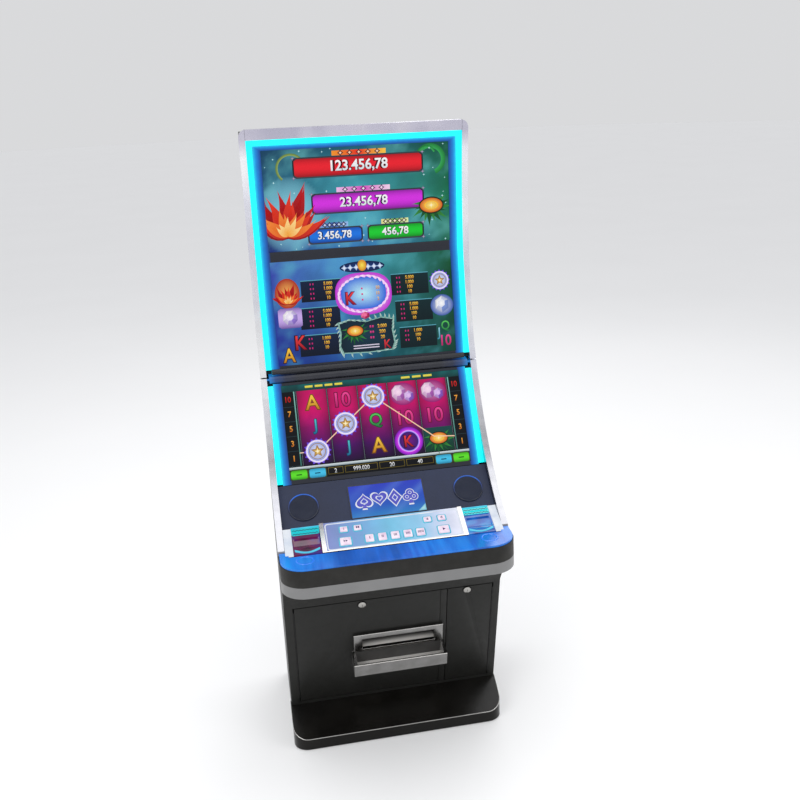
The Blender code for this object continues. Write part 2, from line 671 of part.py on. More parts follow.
def pedestal_doors():
    top, foot = DOOR_SPAN
    service = block("service_door", (SERVICE_DOOR_X[0], -foot, -DOOR_THICK),
                    (SERVICE_DOOR_X[1], -top, 0.0), BLACK, PEDESTAL_FACE)
    groove = block("door_groove", (GROOVE_X[0], -0.5, -0.0020), (GROOVE_X[1], 0.1, 0.01), BLACK,
                   PEDESTAL_FACE)
    hole = block("tray_hole", (TRAY_X[0] + TRAY_RIM - GAP, -TRAY_BAR_SPAN[0] - TRAY_WALL - GAP, -0.1),
                 (TRAY_X[1] - TRAY_RIM + GAP, -TRAY_SPAN[0] - TRAY_HEAD + GAP, 0.1), BLACK,
                 PEDESTAL_FACE)
    cut(service, groove, hole)
    lock_hole(service, SERVICE_LOCK)
    move_with("service_door_axis", pedestal_axis(SERVICE_HINGE_X), [service, coin_tray()])
    cash = block("cash_door", (CASH_DOOR_X[0], -foot, -DOOR_THICK), (CASH_DOOR_X[1], -top, 0.0),
                 BLACK, PEDESTAL_FACE)
    lock_hole(cash, CASH_LOCK)
    move_with("cash_door_axis", pedestal_axis(CASH_HINGE_X), [cash])
    pedestal_pin("service_door_pin", SERVICE_HINGE_X)
    pedestal_pin("cash_door_pin", CASH_HINGE_X)
    lock("service_lock", SERVICE_LOCK, 0.0255)
    lock("cash_lock", CASH_LOCK, 0.0215)


# ---------------------------------------------------------------- upper display door
def display_door():
    low = DOOR_BOTTOM_Z
    trim = prism("display_door_trim", rail_band(0.0, RAIL_DEPTH, low, TOP_Z - 0.001),
                 -HALF_WIDTH, HALF_WIDTH, SILVER, SIDE_VIEW)
    keep_inside(trim, prism("trim_silhouette", round_top(HALF_WIDTH, 1.0, TOP_Z, 0.024),
                            -0.5, 0.0, SILVER, FRONT_VIEW))
    cut(trim, prism("trim_opening", round_top(RAIL_INNER, 1.0, BODY_TOP_Z - 0.0005, 0.0012),
                    -0.5, 0.0, SILVER, FRONT_VIEW))
    frame = prism("display_door_frame", rail_band(RAIL_DEPTH + GAP, SHELL_DEPTH, low, SHELL_TOP_Z),
                  -SKIN_HALF, SKIN_HALF, BLACK, SIDE_VIEW)
    cut(frame, block("door_opening", (-OPENING_HALF, 0.0, low + 0.014),
                     (OPENING_HALF, 0.5, 1.7860), BLACK))
    corners = [on_line(DOOR_TOP, DOOR_BEND, 1.7825), DOOR_BEND, DOOR_FOOT]
    bezel = prism("display_door_bezel", face_band(corners, 0.0, SHEET), -BEZEL_HALF, BEZEL_HALF,
                  BEZEL, SIDE_VIEW)
    cut(bezel, window("upper_window", UPPER_WINDOW, UPPER_FACE),
        window("middle_window", MIDDLE_WINDOW, MIDDLE_FACE))
    strip_corners = [on_line(DOOR_TOP, DOOR_BEND, 1.7985), DOOR_BEND,
                     on_line(DOOR_BEND, DOOR_FOOT, 1.1390)]
    strip = prism("upper_led_strip", face_band(strip_corners, -0.0010, 0.0050), -LED_OUTER,
                  LED_OUTER, LED, SIDE_VIEW)
    cut(strip, block("strip_opening", (-LED_INNER, 0.0, 1.0), (LED_INNER, 0.5, 1.7830), LED))
    upper = display("upper_display", UPPER_WINDOW, UPPER_FACE)
    middle = display("middle_display", MIDDLE_WINDOW, MIDDLE_FACE)
    pieces = [trim, frame, bezel, strip, upper, middle, divider("divider_bar", 1.1325, 0.0085)]
    move_with("display_door_axis", Matrix.Translation((DOOR_AXIS[0], DOOR_AXIS[1], 0.0)), pieces)


def round_top(half_x, low, high, radius, steps=6):
    """Front-view outline with a flat foot and two round top corners."""
    outline = [(-half_x, low), (half_x, low)]
    for centre_x, start in ((half_x - radius, 0.0), (radius - half_x, 90.0)):
        for step in range(steps + 1):
            angle = math.radians(start + 90.0 * step / steps)
            outline.append((centre_x + radius * math.cos(angle),
                            high - radius + radius * math.sin(angle)))
    return outline


def window(name, span, face):
    return block(name, (-WINDOW_HALF, -span[1], -0.02), (WINDOW_HALF, -span[0], 0.02), BEZEL, face)


def display(name, span, face):
    """Display module lying against the back of its bezel."""
    high = -span[0] + MODULE_LIP
    low = -span[1] - MODULE_LIP
    return block(name, (-MODULE_HALF, low, -MODULE_DEPTH), (MODULE_HALF, high, -0.0046), SCREEN,
                 face, 0.0010)


def divider(name, z, half):
    """Grey bar with a blunt nose across the face between two screens."""
    y = on_line(DOOR_BEND, DOOR_FOOT, z)[0] - 0.0032
    profile = [(y + 0.0010, z - half), (y - 0.0010, z - half), (y - 0.0050, z - half * 0.4),
               (y - 0.0050, z + half * 0.4), (y - 0.0010, z + half), (y + 0.0010, z + half)]
    return prism(name, profile, -0.2900, 0.2900, BAR, SIDE_VIEW)


# ---------------------------------------------------------------- player's lid
def lid():
    rails = lid_rails()
    frame = prism("lid_frame", rail_band(RAIL_DEPTH + GAP, SHELL_DEPTH, LID_FLOOR_Z, LID_TOP[1]),
                  -SKIN_HALF, SKIN_HALF, BLACK, SIDE_VIEW)
    half = RAIL_INNER + GAP
    cut(frame, block("lid_opening", (-half, -0.5, 0.7165), (half, 0.5, 1.0860), BLACK))
    join(frame, block("lid_floor", (-BEAM_HALF, BUMPER_REAR + GAP, LID_FLOOR_Z),
                      (BEAM_HALF, -0.1500, 0.7125), BLACK))
    for x in (-SLOT_X, SLOT_X):
        cut(frame, slot_cutter("floor_slot", x, 0.700, 0.7145, 0.001))
    span = length(LID_TOP, LID_BEND)
    bezel = block("lid_bezel", (-BEZEL_HALF, -span, -SHEET), (BEZEL_HALF, 0.0, 0.0), BEZEL,
                  LID_FACE)
    cut(bezel, window("lower_window", LOWER_WINDOW, LID_FACE))
    strips = mirrored_pair("lower_led_strip", (LED_INNER, -span + 0.004, -0.006),
                           (LED_OUTER, -0.006, 0.001), LED, LID_FACE, 0.0008)
    pieces = [*rails, frame, bezel, *strips, display("lower_display", LOWER_WINDOW, LID_FACE)]
    pieces += speaker_panel() + button_deck() + bumper()
    move_with("lid_axis", Matrix.Translation((0.0, *LID_AXIS)), pieces)


def lid_rails():
    """The two silver rails beside the player, with a blind hole each for the hinge pin."""
    outline = ([RAIL_NOSE, FOOT_START]
               + behind_rail(0.0, FOOT_START[1] + 0.002, LID_AXIS[1] + 0.0057)
               + behind_rail(RAIL_DEPTH, LID_FLOOR_Z, LID_AXIS[1] + 0.0057)[::-1])
    rails = []
    pin = Matrix.Translation((0.0, *LID_AXIS)) @ SIDE_VIEW
    for name, side in (("lid_rail_left", -1), ("lid_rail_right", 1)):
        low, high = sorted((side * RAIL_INNER, side * HALF_WIDTH))
        rail = prism(name, outline, low, high, SILVER, SIDE_VIEW)
        near, far = sorted((side * 0.300, side * 0.3184))
        cut(rail, cylinder(name + "_bore", 0.0032, near, far, SILVER, pin, 12))
        rails.append(rail)
    return rails


def speaker_panel():
    """Sloping panel below the lower screen, with its two speakers and the emblem."""
    span = length(PANEL_TOP, PANEL_FOOT)
    panel = block("speaker_panel", (-0.3063, -span, -SHEET), (0.3063, -0.0005, 0.0), SLATE,
                  PANEL_FACE)
    speakers = []
    holes = []
    for name, x in (("speaker_left", -SPEAKER_X), ("speaker_right", SPEAKER_X)):
        place = PANEL_FACE @ Matrix.Translation((x, -SPEAKER_DOWN, 0.0))
        rim = SPEAKER_RADIUS
        profile = ((0.0, -0.0010), (0.030, 0.0022), (rim - 0.005, 0.0030), (rim, 0.0016),
                   (rim, 0.0003), (rim - 0.003, 0.0003), (rim - 0.003, -0.0100),
                   (0.026, -0.0260), (0.022, -0.0260), (0.022, -0.0400), (0.0, -0.0400))
        speakers.append(turned(name, profile, PLASTIC, place, 28))
        holes.append(cylinder("hole", rim - 0.0026, -0.01, 0.01, SLATE, place, 28))
    cut(panel, shared_cutter("speaker_holes", holes))
    emblem = block("emblem_plate", (-EMBLEM_HALF, -EMBLEM_SPAN[1], GAP),
                   (EMBLEM_HALF, -EMBLEM_SPAN[0], 0.0032), EMBLEM, PANEL_FACE, 0.0008)
    return [panel, *speakers, emblem]


def button_deck():
    """Glowing button panel with its trims, buttons, and the dishes beside it."""
    panel = block("button_panel", (-PANEL_HALF, -DECK_LENGTH, -SHEET), (PANEL_HALF, 0.0, 0.0),
                  LILAC, DECK_FACE)
    wells = []
    for name, (x, down, size) in BUTTONS.items():
        half_x = size[0] / 2 + 0.0004
        half_y = size[1] / 2 + 0.0004
        wells.append(block("well", (x - half_x, -down - half_y, -0.02),
                           (x + half_x, -down + half_y, 0.02), LILAC, DECK_FACE))
    cut(panel, shared_cutter("button_wells", wells))
    trim = block("panel_trim", (-TRIM_HALF, -DECK_LENGTH - 0.0040, -0.0045),
                 (TRIM_HALF, 0.0, 0.0025), CHROME, DECK_FACE)
    cut(trim, block("trim_inside", (-PANEL_HALF - GAP, -DECK_LENGTH - GAP, -0.1),
                    (PANEL_HALF + GAP, 0.1, 0.1), CHROME, DECK_FACE))
    return [panel, trim, dish("ticket_bezel", -1, TICKET), dish("note_bezel", 1, NOTE)]


def dish(name, side, paint):
    """Slotted bezel with two zigzag bars at the back and a scooped dish in front."""
    low, high = sorted((side * DISH_HALF[0], side * DISH_HALF[1]))
    centre = (low + high) / 2
    bezel = block(name, (low, -0.1020, -0.0090), (high, 0.0, 0.0), paint, DISH_FACE)
    bars = []
    for down in (0.006, 0.020):
        bars.append(block("bar", (low + 0.003, -down - 0.008, -0.002), (high - 0.003, -down, 0.0030),
                          paint, DISH_FACE))
    join(bezel, shared_cutter(name + "_bars", bars))
    roll = DISH_FACE @ Matrix.Translation((centre, -0.066, 0.0460)) @ Matrix.Rotation(
        math.radians(90), 4, "Y")
    scoop = cylinder(name + "_scoop", 0.0520, -0.0360, 0.0360, paint, roll, 64)
    return cut(bezel, scoop, slot_cutter(name + "_slot", centre, 0.60, 0.80, 0.0))


def slot_cutter(name, x, low, high, room):
    """Upright slot for a note or ticket, with some room to spare all round."""
    half_y = SLOT_WIDTH / 2 + room
    return block(name, (x - SLOT_HALF - room, SLOT_Y - half_y, low),
                 (x + SLOT_HALF + room, SLOT_Y + half_y, high), BLACK)


def buttons():
    for name, (x, down, size) in BUTTONS.items():
        place = DECK_FACE @ Matrix.Translation((x, -down, 0.0))
        block(name, (-size[0] / 2, -size[1] / 2, -BUTTON_SINK),
              (size[0] / 2, size[1] / 2, BUTTON_RISE), PEARL, place, 0.0012)


def bumper():
    """Blue deck plate, soft black pad and grey band round the front of the lid."""
    plate = prism("deck_top", round_front(0.3225, FRONT_Y + 0.0025, -0.2228, BUMPER_RADIUS - 0.003),
                  PAD_TOP + GAP, DECK_PLATE_TOP, AZURE)
    cut(plate, block("plate_recess", (-0.2975, -0.2515, 0.70), (0.2975, -0.20, 0.75), AZURE))
    rings = []
    near, far = RING_RADII
    floor, high = DECK_PLATE_TOP - 0.0014, DECK_PLATE_TOP + 0.0078
    profile = ((near, high), (far, high), (far, floor), (near, floor), (near, high))
    for x in (-RING_CENTRE[0], RING_CENTRE[0]):
        place = Matrix.Translation((x, RING_CENTRE[1], 0.0))
        rings.append(turned("ring", profile, AZURE, place, 32))
    cut(plate, shared_cutter("ring_grooves", rings))
    outline = round_front(HALF_WIDTH, FRONT_Y, BUMPER_REAR, BUMPER_RADIUS)
    pad = prism("bumper_pad", outline, BAND_TOP + GAP, PAD_TOP, RUBBER)
    cut(pad, block("pad_recess", (-BEAM_HALF, -0.2515, 0.6980), (BEAM_HALF, -0.20, 0.75), RUBBER),
        block("nose_room", (-0.35, -0.2225, LID_FLOOR_Z - GAP), (0.35, -0.20, 0.75), RUBBER))
    band = prism("bumper_band", outline, BUMPER_BOTTOM, BAND_TOP, BAND)
    return [plate, pad, band]


# ---------------------------------------------------------------- inner units
def inner_units():
    block("logic_box", *LOGIC_BOX, STEEL, IDENTITY, UNIT_BEVEL)
    block("power_supply", *POWER_SUPPLY, STEEL, IDENTITY, UNIT_BEVEL)
    join(block("cash_box", *CASH_BOX, STEEL, IDENTITY, UNIT_BEVEL),
         block("cash_grip", *CASH_GRIP, STEEL))
    acceptor = block("note_acceptor", *NOTE_ACCEPTOR, PLASTIC, IDENTITY, 0.002)
    printer = block("ticket_printer", *TICKET_PRINTER, PLASTIC, IDENTITY, 0.002)
    for unit, x in ((acceptor, SLOT_X), (printer, -SLOT_X)):
        cut(unit, slot_cutter(unit.name + "_mouth", x, 0.685, 0.72, 0.001))
    fan()
    mains_inlet()


def fan():
    """Exhaust fan behind the back panel: a square housing and a bladed rotor."""
    x, z = FAN_CENTRE
    housing = block("fan_housing", (x - 0.060, REAR_INNER - 0.0260, z - 0.060),
                    (x + 0.060, REAR_INNER - GAP, z + 0.060), PLASTIC)
    axis = Matrix.Translation((x, 0.0, z)) @ FRONT_VIEW
    bore = cylinder("fan_bore", FAN_RADIUS + 0.003, -BACK_Y, -0.20, PLASTIC, axis, 36)
    spider = block("fan_spider", (-0.058, -0.004, 0.0010 - REAR_INNER),
                   (0.058, 0.004, 0.0040 - REAR_INNER), PLASTIC, axis)
    join(cut(housing, bore), spider)
    rotor = cylinder("fan_rotor", 0.018, 0.0050 - REAR_INNER, 0.0240 - REAR_INNER, PLASTIC, axis, 20)
    for blade in range(FAN_BLADES):
        turn = Matrix.Rotation(math.tau * blade / FAN_BLADES, 4, "Z")
        pitch = Matrix.Rotation(math.radians(35), 4, "X")
        place = axis @ turn @ Matrix.Translation((0.0, 0.0, 0.0145 - REAR_INNER)) @ pitch
        join(rotor, block("blade_" + str(blade), (0.014, -0.011, -0.0008),
                          (FAN_RADIUS - 0.001, 0.011, 0.0008), PLASTIC, place))


def mains_inlet():
    """Mains inlet with its socket, and the rocker switch beside it."""
    x, z = INLET_CENTRE
    inlet = block("power_inlet", (x - 0.0240, REAR_INNER - 0.0280, z - 0.0330),
                  (x + 0.0240, REAR_FACE - 0.0001, z + 0.0330), PLASTIC)
    flange = block("inlet_flange", (x - 0.030, REAR_FACE + GAP, z - 0.040),
                   (x + 0.030, BACK_Y, z + 0.040), PLASTIC)
    neck = block("inlet_neck", (x - 0.022, REAR_INNER, z - 0.031),
                 (x + 0.022, BACK_Y - 0.0005, z + 0.031), PLASTIC)
    join(inlet, flange, neck)
    well_floor = BACK_Y - 0.0175
    cut(inlet, block("inlet_socket", (x - 0.014, well_floor, z - 0.026),
                     (x + 0.014, BACK_Y + 0.01, z - 0.006), PLASTIC),
        block("switch_well", (x - 0.0110, well_floor, z + 0.0020),
              (x + 0.0110, BACK_Y + 0.01, z + 0.0270), PLASTIC))
    pivot = Matrix.Translation((x, BACK_Y - 0.0065, z + 0.0145)) @ Matrix.Rotation(
        math.radians(-SWITCH_TILT), 4, "X")
    block("power_switch", (-0.0100, -0.0060, -0.0105), (0.0100, 0.0040, 0.0105), PLASTIC, pivot)


cabinet()
footrest()
pedestal_doors()
display_door()
lid()
buttons()
inner_units()
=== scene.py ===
import math

import bmesh
import bpy
from mathutils import Matrix, Vector, noise


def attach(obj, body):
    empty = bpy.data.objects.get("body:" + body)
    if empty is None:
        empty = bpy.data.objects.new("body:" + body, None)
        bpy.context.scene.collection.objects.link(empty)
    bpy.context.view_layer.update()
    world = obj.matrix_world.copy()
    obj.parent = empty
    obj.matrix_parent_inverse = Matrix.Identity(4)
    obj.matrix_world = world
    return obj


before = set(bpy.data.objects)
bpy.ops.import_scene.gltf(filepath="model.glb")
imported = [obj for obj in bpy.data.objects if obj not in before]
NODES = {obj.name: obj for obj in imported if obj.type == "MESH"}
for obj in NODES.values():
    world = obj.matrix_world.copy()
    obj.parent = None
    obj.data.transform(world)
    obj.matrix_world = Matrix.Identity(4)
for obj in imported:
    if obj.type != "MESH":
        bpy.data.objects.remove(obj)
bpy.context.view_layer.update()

# Metres, X to the player's right, -Y towards the player, +Z up, as in the CAD model.
SCENE = bpy.context.scene


# ---------------------------------------------------------------- frames on the cabinet's faces
def slope(top, foot):
    """Frame at the top of a sloping face given by two (y, z) points: X right, Y up, Z out."""
    up = Vector((0.0, top[0] - foot[0], top[1] - foot[1])).normalized()
    out = Vector((1.0, 0.0, 0.0)).cross(up)
    return Matrix([[1, 0, 0, 0], [0, up.y, out.y, top[0]], [0, up.z, out.z, top[1]], [0, 0, 0, 1]])


UPPER_FACE = slope((0.1575, 1.8000), (0.1825, 1.4650))
MIDDLE_FACE = slope((0.1825, 1.4650), (0.1405, 1.1225))
LID_FACE = slope((0.1320, 1.0980), (-0.0215, 0.8375))
PANEL_FACE = slope((-0.0260, 0.8380), (-0.1400, 0.7500))
DECK_FACE = slope((-0.1445, 0.7615), (-0.2465, 0.7170))
DISH_FACE = slope((-0.1440, 0.7535), (-0.2450, 0.7190))
PEDESTAL_FACE = slope((-0.1235, 0.5050), (-0.0055, 0.0980))


def placed(face, x, down, rise=0.0):
    """A face's frame, moved across, down and out."""
    return face @ Matrix.Translation((x, -down, rise))


# ---------------------------------------------------------------- colours
def linear(value):
    value /= 255.0
    return value / 12.92 if value <= 0.04045 else ((value + 0.055) / 1.055) ** 2.4


def rgb(red, green, blue):
    """A screen colour, 0 to 255 each, as linear light."""
    return (linear(red), linear(green), linear(blue))


def grey(value):
    return (value, value, value)


def mix(first, second, share):
    share = min(1.0, max(0.0, share))
    return tuple(a + (b - a) * share for a, b in zip(first, second))


def shade(colour, factor):
    return tuple(c * factor for c in colour)


def through(stops, place):
    """Colour at a place along (place, colour) stops."""
    for (low, first), (high, second) in zip(stops, stops[1:]):
        if place <= high:
            return mix(first, second, (place - low) / (high - low))
    return stops[-1][1]


def cloud(x, y, size, seed):
    return noise.fractal(Vector((x * size, y * size, seed)), 0.9, 2.1, 4)


# ---------------------------------------------------------------- materials
SOCKETS = {"colour": "Base Color", "roughness": "Roughness", "metallic": "Metallic",
           "specular": "Specular IOR Level", "coat": "Coat Weight", "sheen": "Sheen Weight",
           "glow": "Emission Color", "power": "Emission Strength", "normal": "Normal"}


class Shader:
    """A Principled material under construction, with its texture nodes."""

    def __init__(self, name, **values):
        self.material = bpy.data.materials.new(name)
        self.material.use_nodes = True
        self.tree = self.material.node_tree
        self.tree.nodes.clear()
        output = self.tree.nodes.new("ShaderNodeOutputMaterial")
        self.bsdf = self.tree.nodes.new("ShaderNodeBsdfPrincipled")
        self.give(output.inputs["Surface"], self.bsdf.outputs["BSDF"])
        self.place = self.tree.nodes.new("ShaderNodeTexCoord").outputs["Object"]
        self.feed(**values)

    def give(self, socket, value):
        """Link a socket to another one, or set it to a number, a vector or a colour."""
        if isinstance(value, bpy.types.NodeSocket):
            self.tree.links.new(value, socket)
        elif socket.type == "RGBA":
            socket.default_value = (*value, 1.0)
        else:
            socket.default_value = value

    def feed(self, **values):
        """Set or link the shader's own sockets."""
        for key, value in values.items():
            self.give(self.bsdf.inputs[SOCKETS[key]], value)
        return self

    def node(self, kind, result, **inputs):
        """One output of a new node whose inputs are set or linked."""
        node = self.tree.nodes.new("ShaderNode" + kind)
        for name, value in inputs.items():
            self.give(node.inputs[name.replace("_", " ")], value)
        return node.outputs[result]

    def noise(self, scale, detail=3.0, stretch=(1.0, 1.0, 1.0)):
        place = self.node("Mapping", "Vector", Vector=self.place, Scale=stretch)
        return self.node("TexNoise", "Fac", Vector=place, Scale=scale, Detail=detail)

    def axis(self, name, absolute=False):
        value = self.node("SeparateXYZ", name, Vector=self.place)
        return self.math("ABSOLUTE", value) if absolute else value

    def along(self, face, column):
        """Distance from a face frame's origin, along its Y (column 1) or its Z (column 2)."""
        steps = [self.math("MULTIPLY", self.math("SUBTRACT", self.axis(name), face[row][3]),
                           face[row][column]) for row, name in ((1, "Y"), (2, "Z"))]
        return self.math("ADD", *steps)

    def math(self, operation, *values):
        node = self.tree.nodes.new("ShaderNodeMath")
        node.operation = operation
        for socket, value in zip(node.inputs, values):
            self.give(socket, value)
        return node.outputs["Value"]

    def both(self, *values):
        """Product of several shares."""
        first, *others = values
        for value in others:
            first = self.math("MULTIPLY", first, value)
        return first

    def span(self, value, low, high, to_low=0.0, to_high=1.0):
        return self.node("MapRange", "Result", Value=value, From_Min=low, From_Max=high,
                         To_Min=to_low, To_Max=to_high)

    def ramp(self, value, *stops):
        node = self.tree.nodes.new("ShaderNodeValToRGB")
        elements = node.color_ramp.elements
        while len(elements) < len(stops):
            elements.new(0.5)
        for element, (place, colour) in zip(elements, stops):
            element.position = place
            element.color = (*colour, 1.0)
        self.give(node.inputs["Fac"], value)
        return node.outputs["Color"]

    def mottle(self, low, high, scale, detail=3.0):
        """A colour that drifts between two over soft noise."""
        return self.ramp(self.noise(scale, detail), (0.3, low), (0.7, high))

    def gloss(self, low, high, scale, detail=4.0):
        """A roughness that drifts between two over soft noise."""
        return self.span(self.noise(scale, detail), 0.3, 0.7, low, high)

    def blend(self, share, first, second, kind="MIX"):
        node = self.tree.nodes.new("ShaderNodeMix")
        node.data_type, node.blend_type = "RGBA", kind
        colours = [socket for socket in node.inputs if socket.type == "RGBA"]
        for socket, value in zip([node.inputs["Factor"], *colours], (share, first, second)):
            self.give(socket, value)
        return next(socket for socket in node.outputs if socket.type == "RGBA")

    def times(self, first, second):
        return self.blend(1.0, first, second, "MULTIPLY")

    def bump(self, height, distance):
        return self.feed(normal=self.node("Bump", "Normal", Strength=1.0, Distance=distance,
                                          Height=height))


def coated(name, colour, roughness, grain, depth, spread=0.35, specular=0.3, **more):
    """Paint, laminate or moulded plastic: mottled colour and gloss over a fine bumpy grain."""
    s = Shader(name, specular=specular, **more)
    s.feed(colour=s.mottle(shade(colour, 1.0 - spread), shade(colour, 1.0 + spread), 14.0, 5.0),
           roughness=s.gloss(roughness * 0.85, roughness * 1.15, 60.0))
    return s.bump(s.noise(grain, 2.0), depth).material


def metal(name, colour, roughness, smudge, depth=0.00002):
    """Bare or plated metal, with fine smudges."""
    s = Shader(name, metallic=1.0)
    lines = s.noise(1.0, 3.0, (smudge,) * 3)
    s.feed(colour=s.ramp(lines, (0.25, shade(colour, 0.9)), (0.75, shade(colour, 1.1))),
           roughness=s.gloss(roughness * 0.75, roughness * 1.3, 35.0))
    return s.bump(lines, depth).material


def lit_strip():
    """Cyan light guide, a little uneven along its length."""
    s = Shader("led_light_guide", colour=rgb(0, 120, 130), roughness=0.35, power=1.25)
    cells = s.noise(1.0, 2.0, (40.0, 22.0, 22.0))
    return s.feed(glow=s.ramp(cells, (0.3, rgb(0, 238, 246)), (0.7, rgb(10, 255, 255)))).material


def lit_sheet(name, low, high, scale, power=0.9):
    """Bright diffused light behind a white or coloured sheet."""
    s = Shader(name, colour=rgb(60, 64, 70), roughness=0.3, power=power, specular=0.3)
    return s.feed(glow=s.mottle(low, high, scale)).material


# These pairs, and those before the next materials, say where a change begins and where it is full.
GLOW_NEAR_X = (0.2640, 0.2902)
GLOW_NEAR_Z = (1.7660, 1.7830)


def bezel_glow():
    """Dark glossy bezel that takes a blue glow from the light strips along its edges."""
    s = Shader("bezel_glow", colour=rgb(8, 12, 20), roughness=0.25, power=1.0, specular=0.3)
    near = s.math("MAXIMUM", s.span(s.axis("X", absolute=True), *GLOW_NEAR_X),
                  s.span(s.axis("Z"), *GLOW_NEAR_Z))
    glow = s.ramp(near, (0.0, rgb(34, 35, 42)), (0.10, rgb(18, 58, 128)), (0.35, rgb(16, 92, 178)),
                  (0.70, rgb(18, 140, 222)), (0.92, rgb(24, 196, 246)), (1.0, rgb(60, 226, 255)))
    return s.feed(glow=s.times(glow, s.mottle(grey(0.90), grey(1.0), 90.0))).material


def printed(name, power=1.0, roughness=0.16):
    """Ink colours of a picture, shining through glossy glass, with a faint pixel shimmer."""
    s = Shader(name, colour=(0.004, 0.004, 0.005), roughness=roughness, power=power, specular=0.12)
    ink = s.tree.nodes.new("ShaderNodeAttribute")
    ink.attribute_name = "ink"
    shimmer = s.mottle(grey(0.86), grey(1.0), 420.0, 2.0)
    return s.feed(glow=s.times(ink.outputs["Color"], shimmer)).material


# The painted shade streak across the deck: its middle, left of the centre, and where it is full and
# gone.
DECK_SHADE_X = 0.155
DECK_SHADE_REACH = (0.012, 0.050)


def deck_blue():
    """Glossy azure plate that glows as painted light, with soft painted highlight streaks running
    to the front and a painted shade streak left of the centre.
    """
    s = Shader("deck_azure", colour=rgb(16, 60, 120), roughness=0.14, power=0.85, specular=0.4)
    # The glow is painted light, and these streaks are painted highlights running to the front.
    streaks = s.noise(1.0, 3.0, (26.0, 2.4, 1.0))
    broad = s.noise(1.0, 1.0, (5.5, 1.2, 1.0))
    tint = s.ramp(s.math("ADD", s.both(streaks, 0.5), s.both(broad, 0.5)),
                  (0.36, rgb(12, 54, 122)), (0.47, rgb(20, 86, 180)), (0.56, rgb(28, 122, 214)),
                  (0.70, rgb(60, 158, 236)))
    # Painted shade: a darker streak left of the centre.
    away = s.math("ABSOLUTE", s.math("ADD", s.axis("X"), DECK_SHADE_X))
    painted_deck_shade = s.ramp(s.span(away, *DECK_SHADE_REACH), (0.0, (0.42, 0.46, 0.55)), (1.0, grey(1.0)))
    return s.feed(glow=s.times(tint, painted_deck_shade)).bump(s.noise(700.0), 0.00001).material


DISH_BACK_Z = (0.7452, 0.7462)


def glowing_dish(name, strip, *stops):
    """Glossy bezel lit from inside: strong colour streaks, with a light band at its back."""
    s = Shader(name, colour=rgb(30, 30, 44), roughness=0.12, power=0.9, specular=0.5, coat=0.3)
    tint = s.ramp(s.noise(1.0, 2.0, (18.0, 30.0, 30.0)), *stops)
    return s.feed(glow=s.blend(s.span(s.axis("Z"), *DISH_BACK_Z), tint, strip)).material


PANEL_REACH = (-0.192, 0.192)


def frosted_panel():
    """Backlit frosted sheet, from lavender on the left through aqua to near white."""
    s = Shader("panel_frosted", colour=rgb(70, 76, 90), roughness=0.30, power=0.9, specular=0.3)
    tint = s.ramp(s.span(s.axis("X"), *PANEL_REACH), (0.0, rgb(112, 122, 190)),
                  (0.22, rgb(96, 150, 208)), (0.48, rgb(96, 190, 224)), (0.70, rgb(130, 196, 230)),
                  (0.86, rgb(206, 214, 240)), (1.0, rgb(240, 240, 252)))
    hazy = s.mottle(grey(0.80), grey(1.0), 16.0, 4.0)
    return s.feed(glow=s.times(tint, hazy)).bump(s.noise(1600.0), 0.00001).material


def button_cap():
    """Translucent lit cap, pink-white with a cooler edge."""
    s = Shader("button_cap", colour=rgb(90, 84, 92), roughness=0.2, power=0.86, specular=0.4)
    tint = s.ramp(s.noise(70.0, 3.0), (0.3, rgb(226, 196, 222)), (0.5, rgb(238, 216, 234)),
                  (0.7, rgb(250, 240, 248)))
    return s.feed(glow=tint).material


SPEAKER_RIM_Z = (0.784, 0.812)


def speaker_rim():
    """Dark moulded ring whose upper edge catches blue light."""
    s = Shader("speaker_rim", colour=rgb(16, 20, 34), roughness=0.3, power=0.8, specular=0.4)
    patchy = s.both(s.span(s.axis("Z"), *SPEAKER_RIM_Z), s.gloss(0.7, 1.0, 30.0, 3.0))
    return s.feed(glow=s.ramp(patchy, (0.0, rgb(8, 12, 24)), (0.5, rgb(14, 50, 120)),
                              (1.0, rgb(30, 110, 230)))).material


# The coin tray, in the pedestal face's frame: where its painted shade and painted light begin and
# are full.
TRAY_MIDDLE = 0.0115
POCKET_OUT = (0.0022, 0.0012)
POCKET_FLOOR_UP = (-0.2050, -0.2056)
POCKET_LIT_OUT = (-0.026, -0.006)
TROUGH_SIDE = (0.1320, 0.1314)
TROUGH_NEAR_OUT = (0.0064, 0.0072)
TROUGH_FAR_OUT = (0.0561, 0.0559)
TROUGH_UP = (-0.2170, -0.2180)
TROUGH_LIT_OUT = (0.0070, 0.0085)


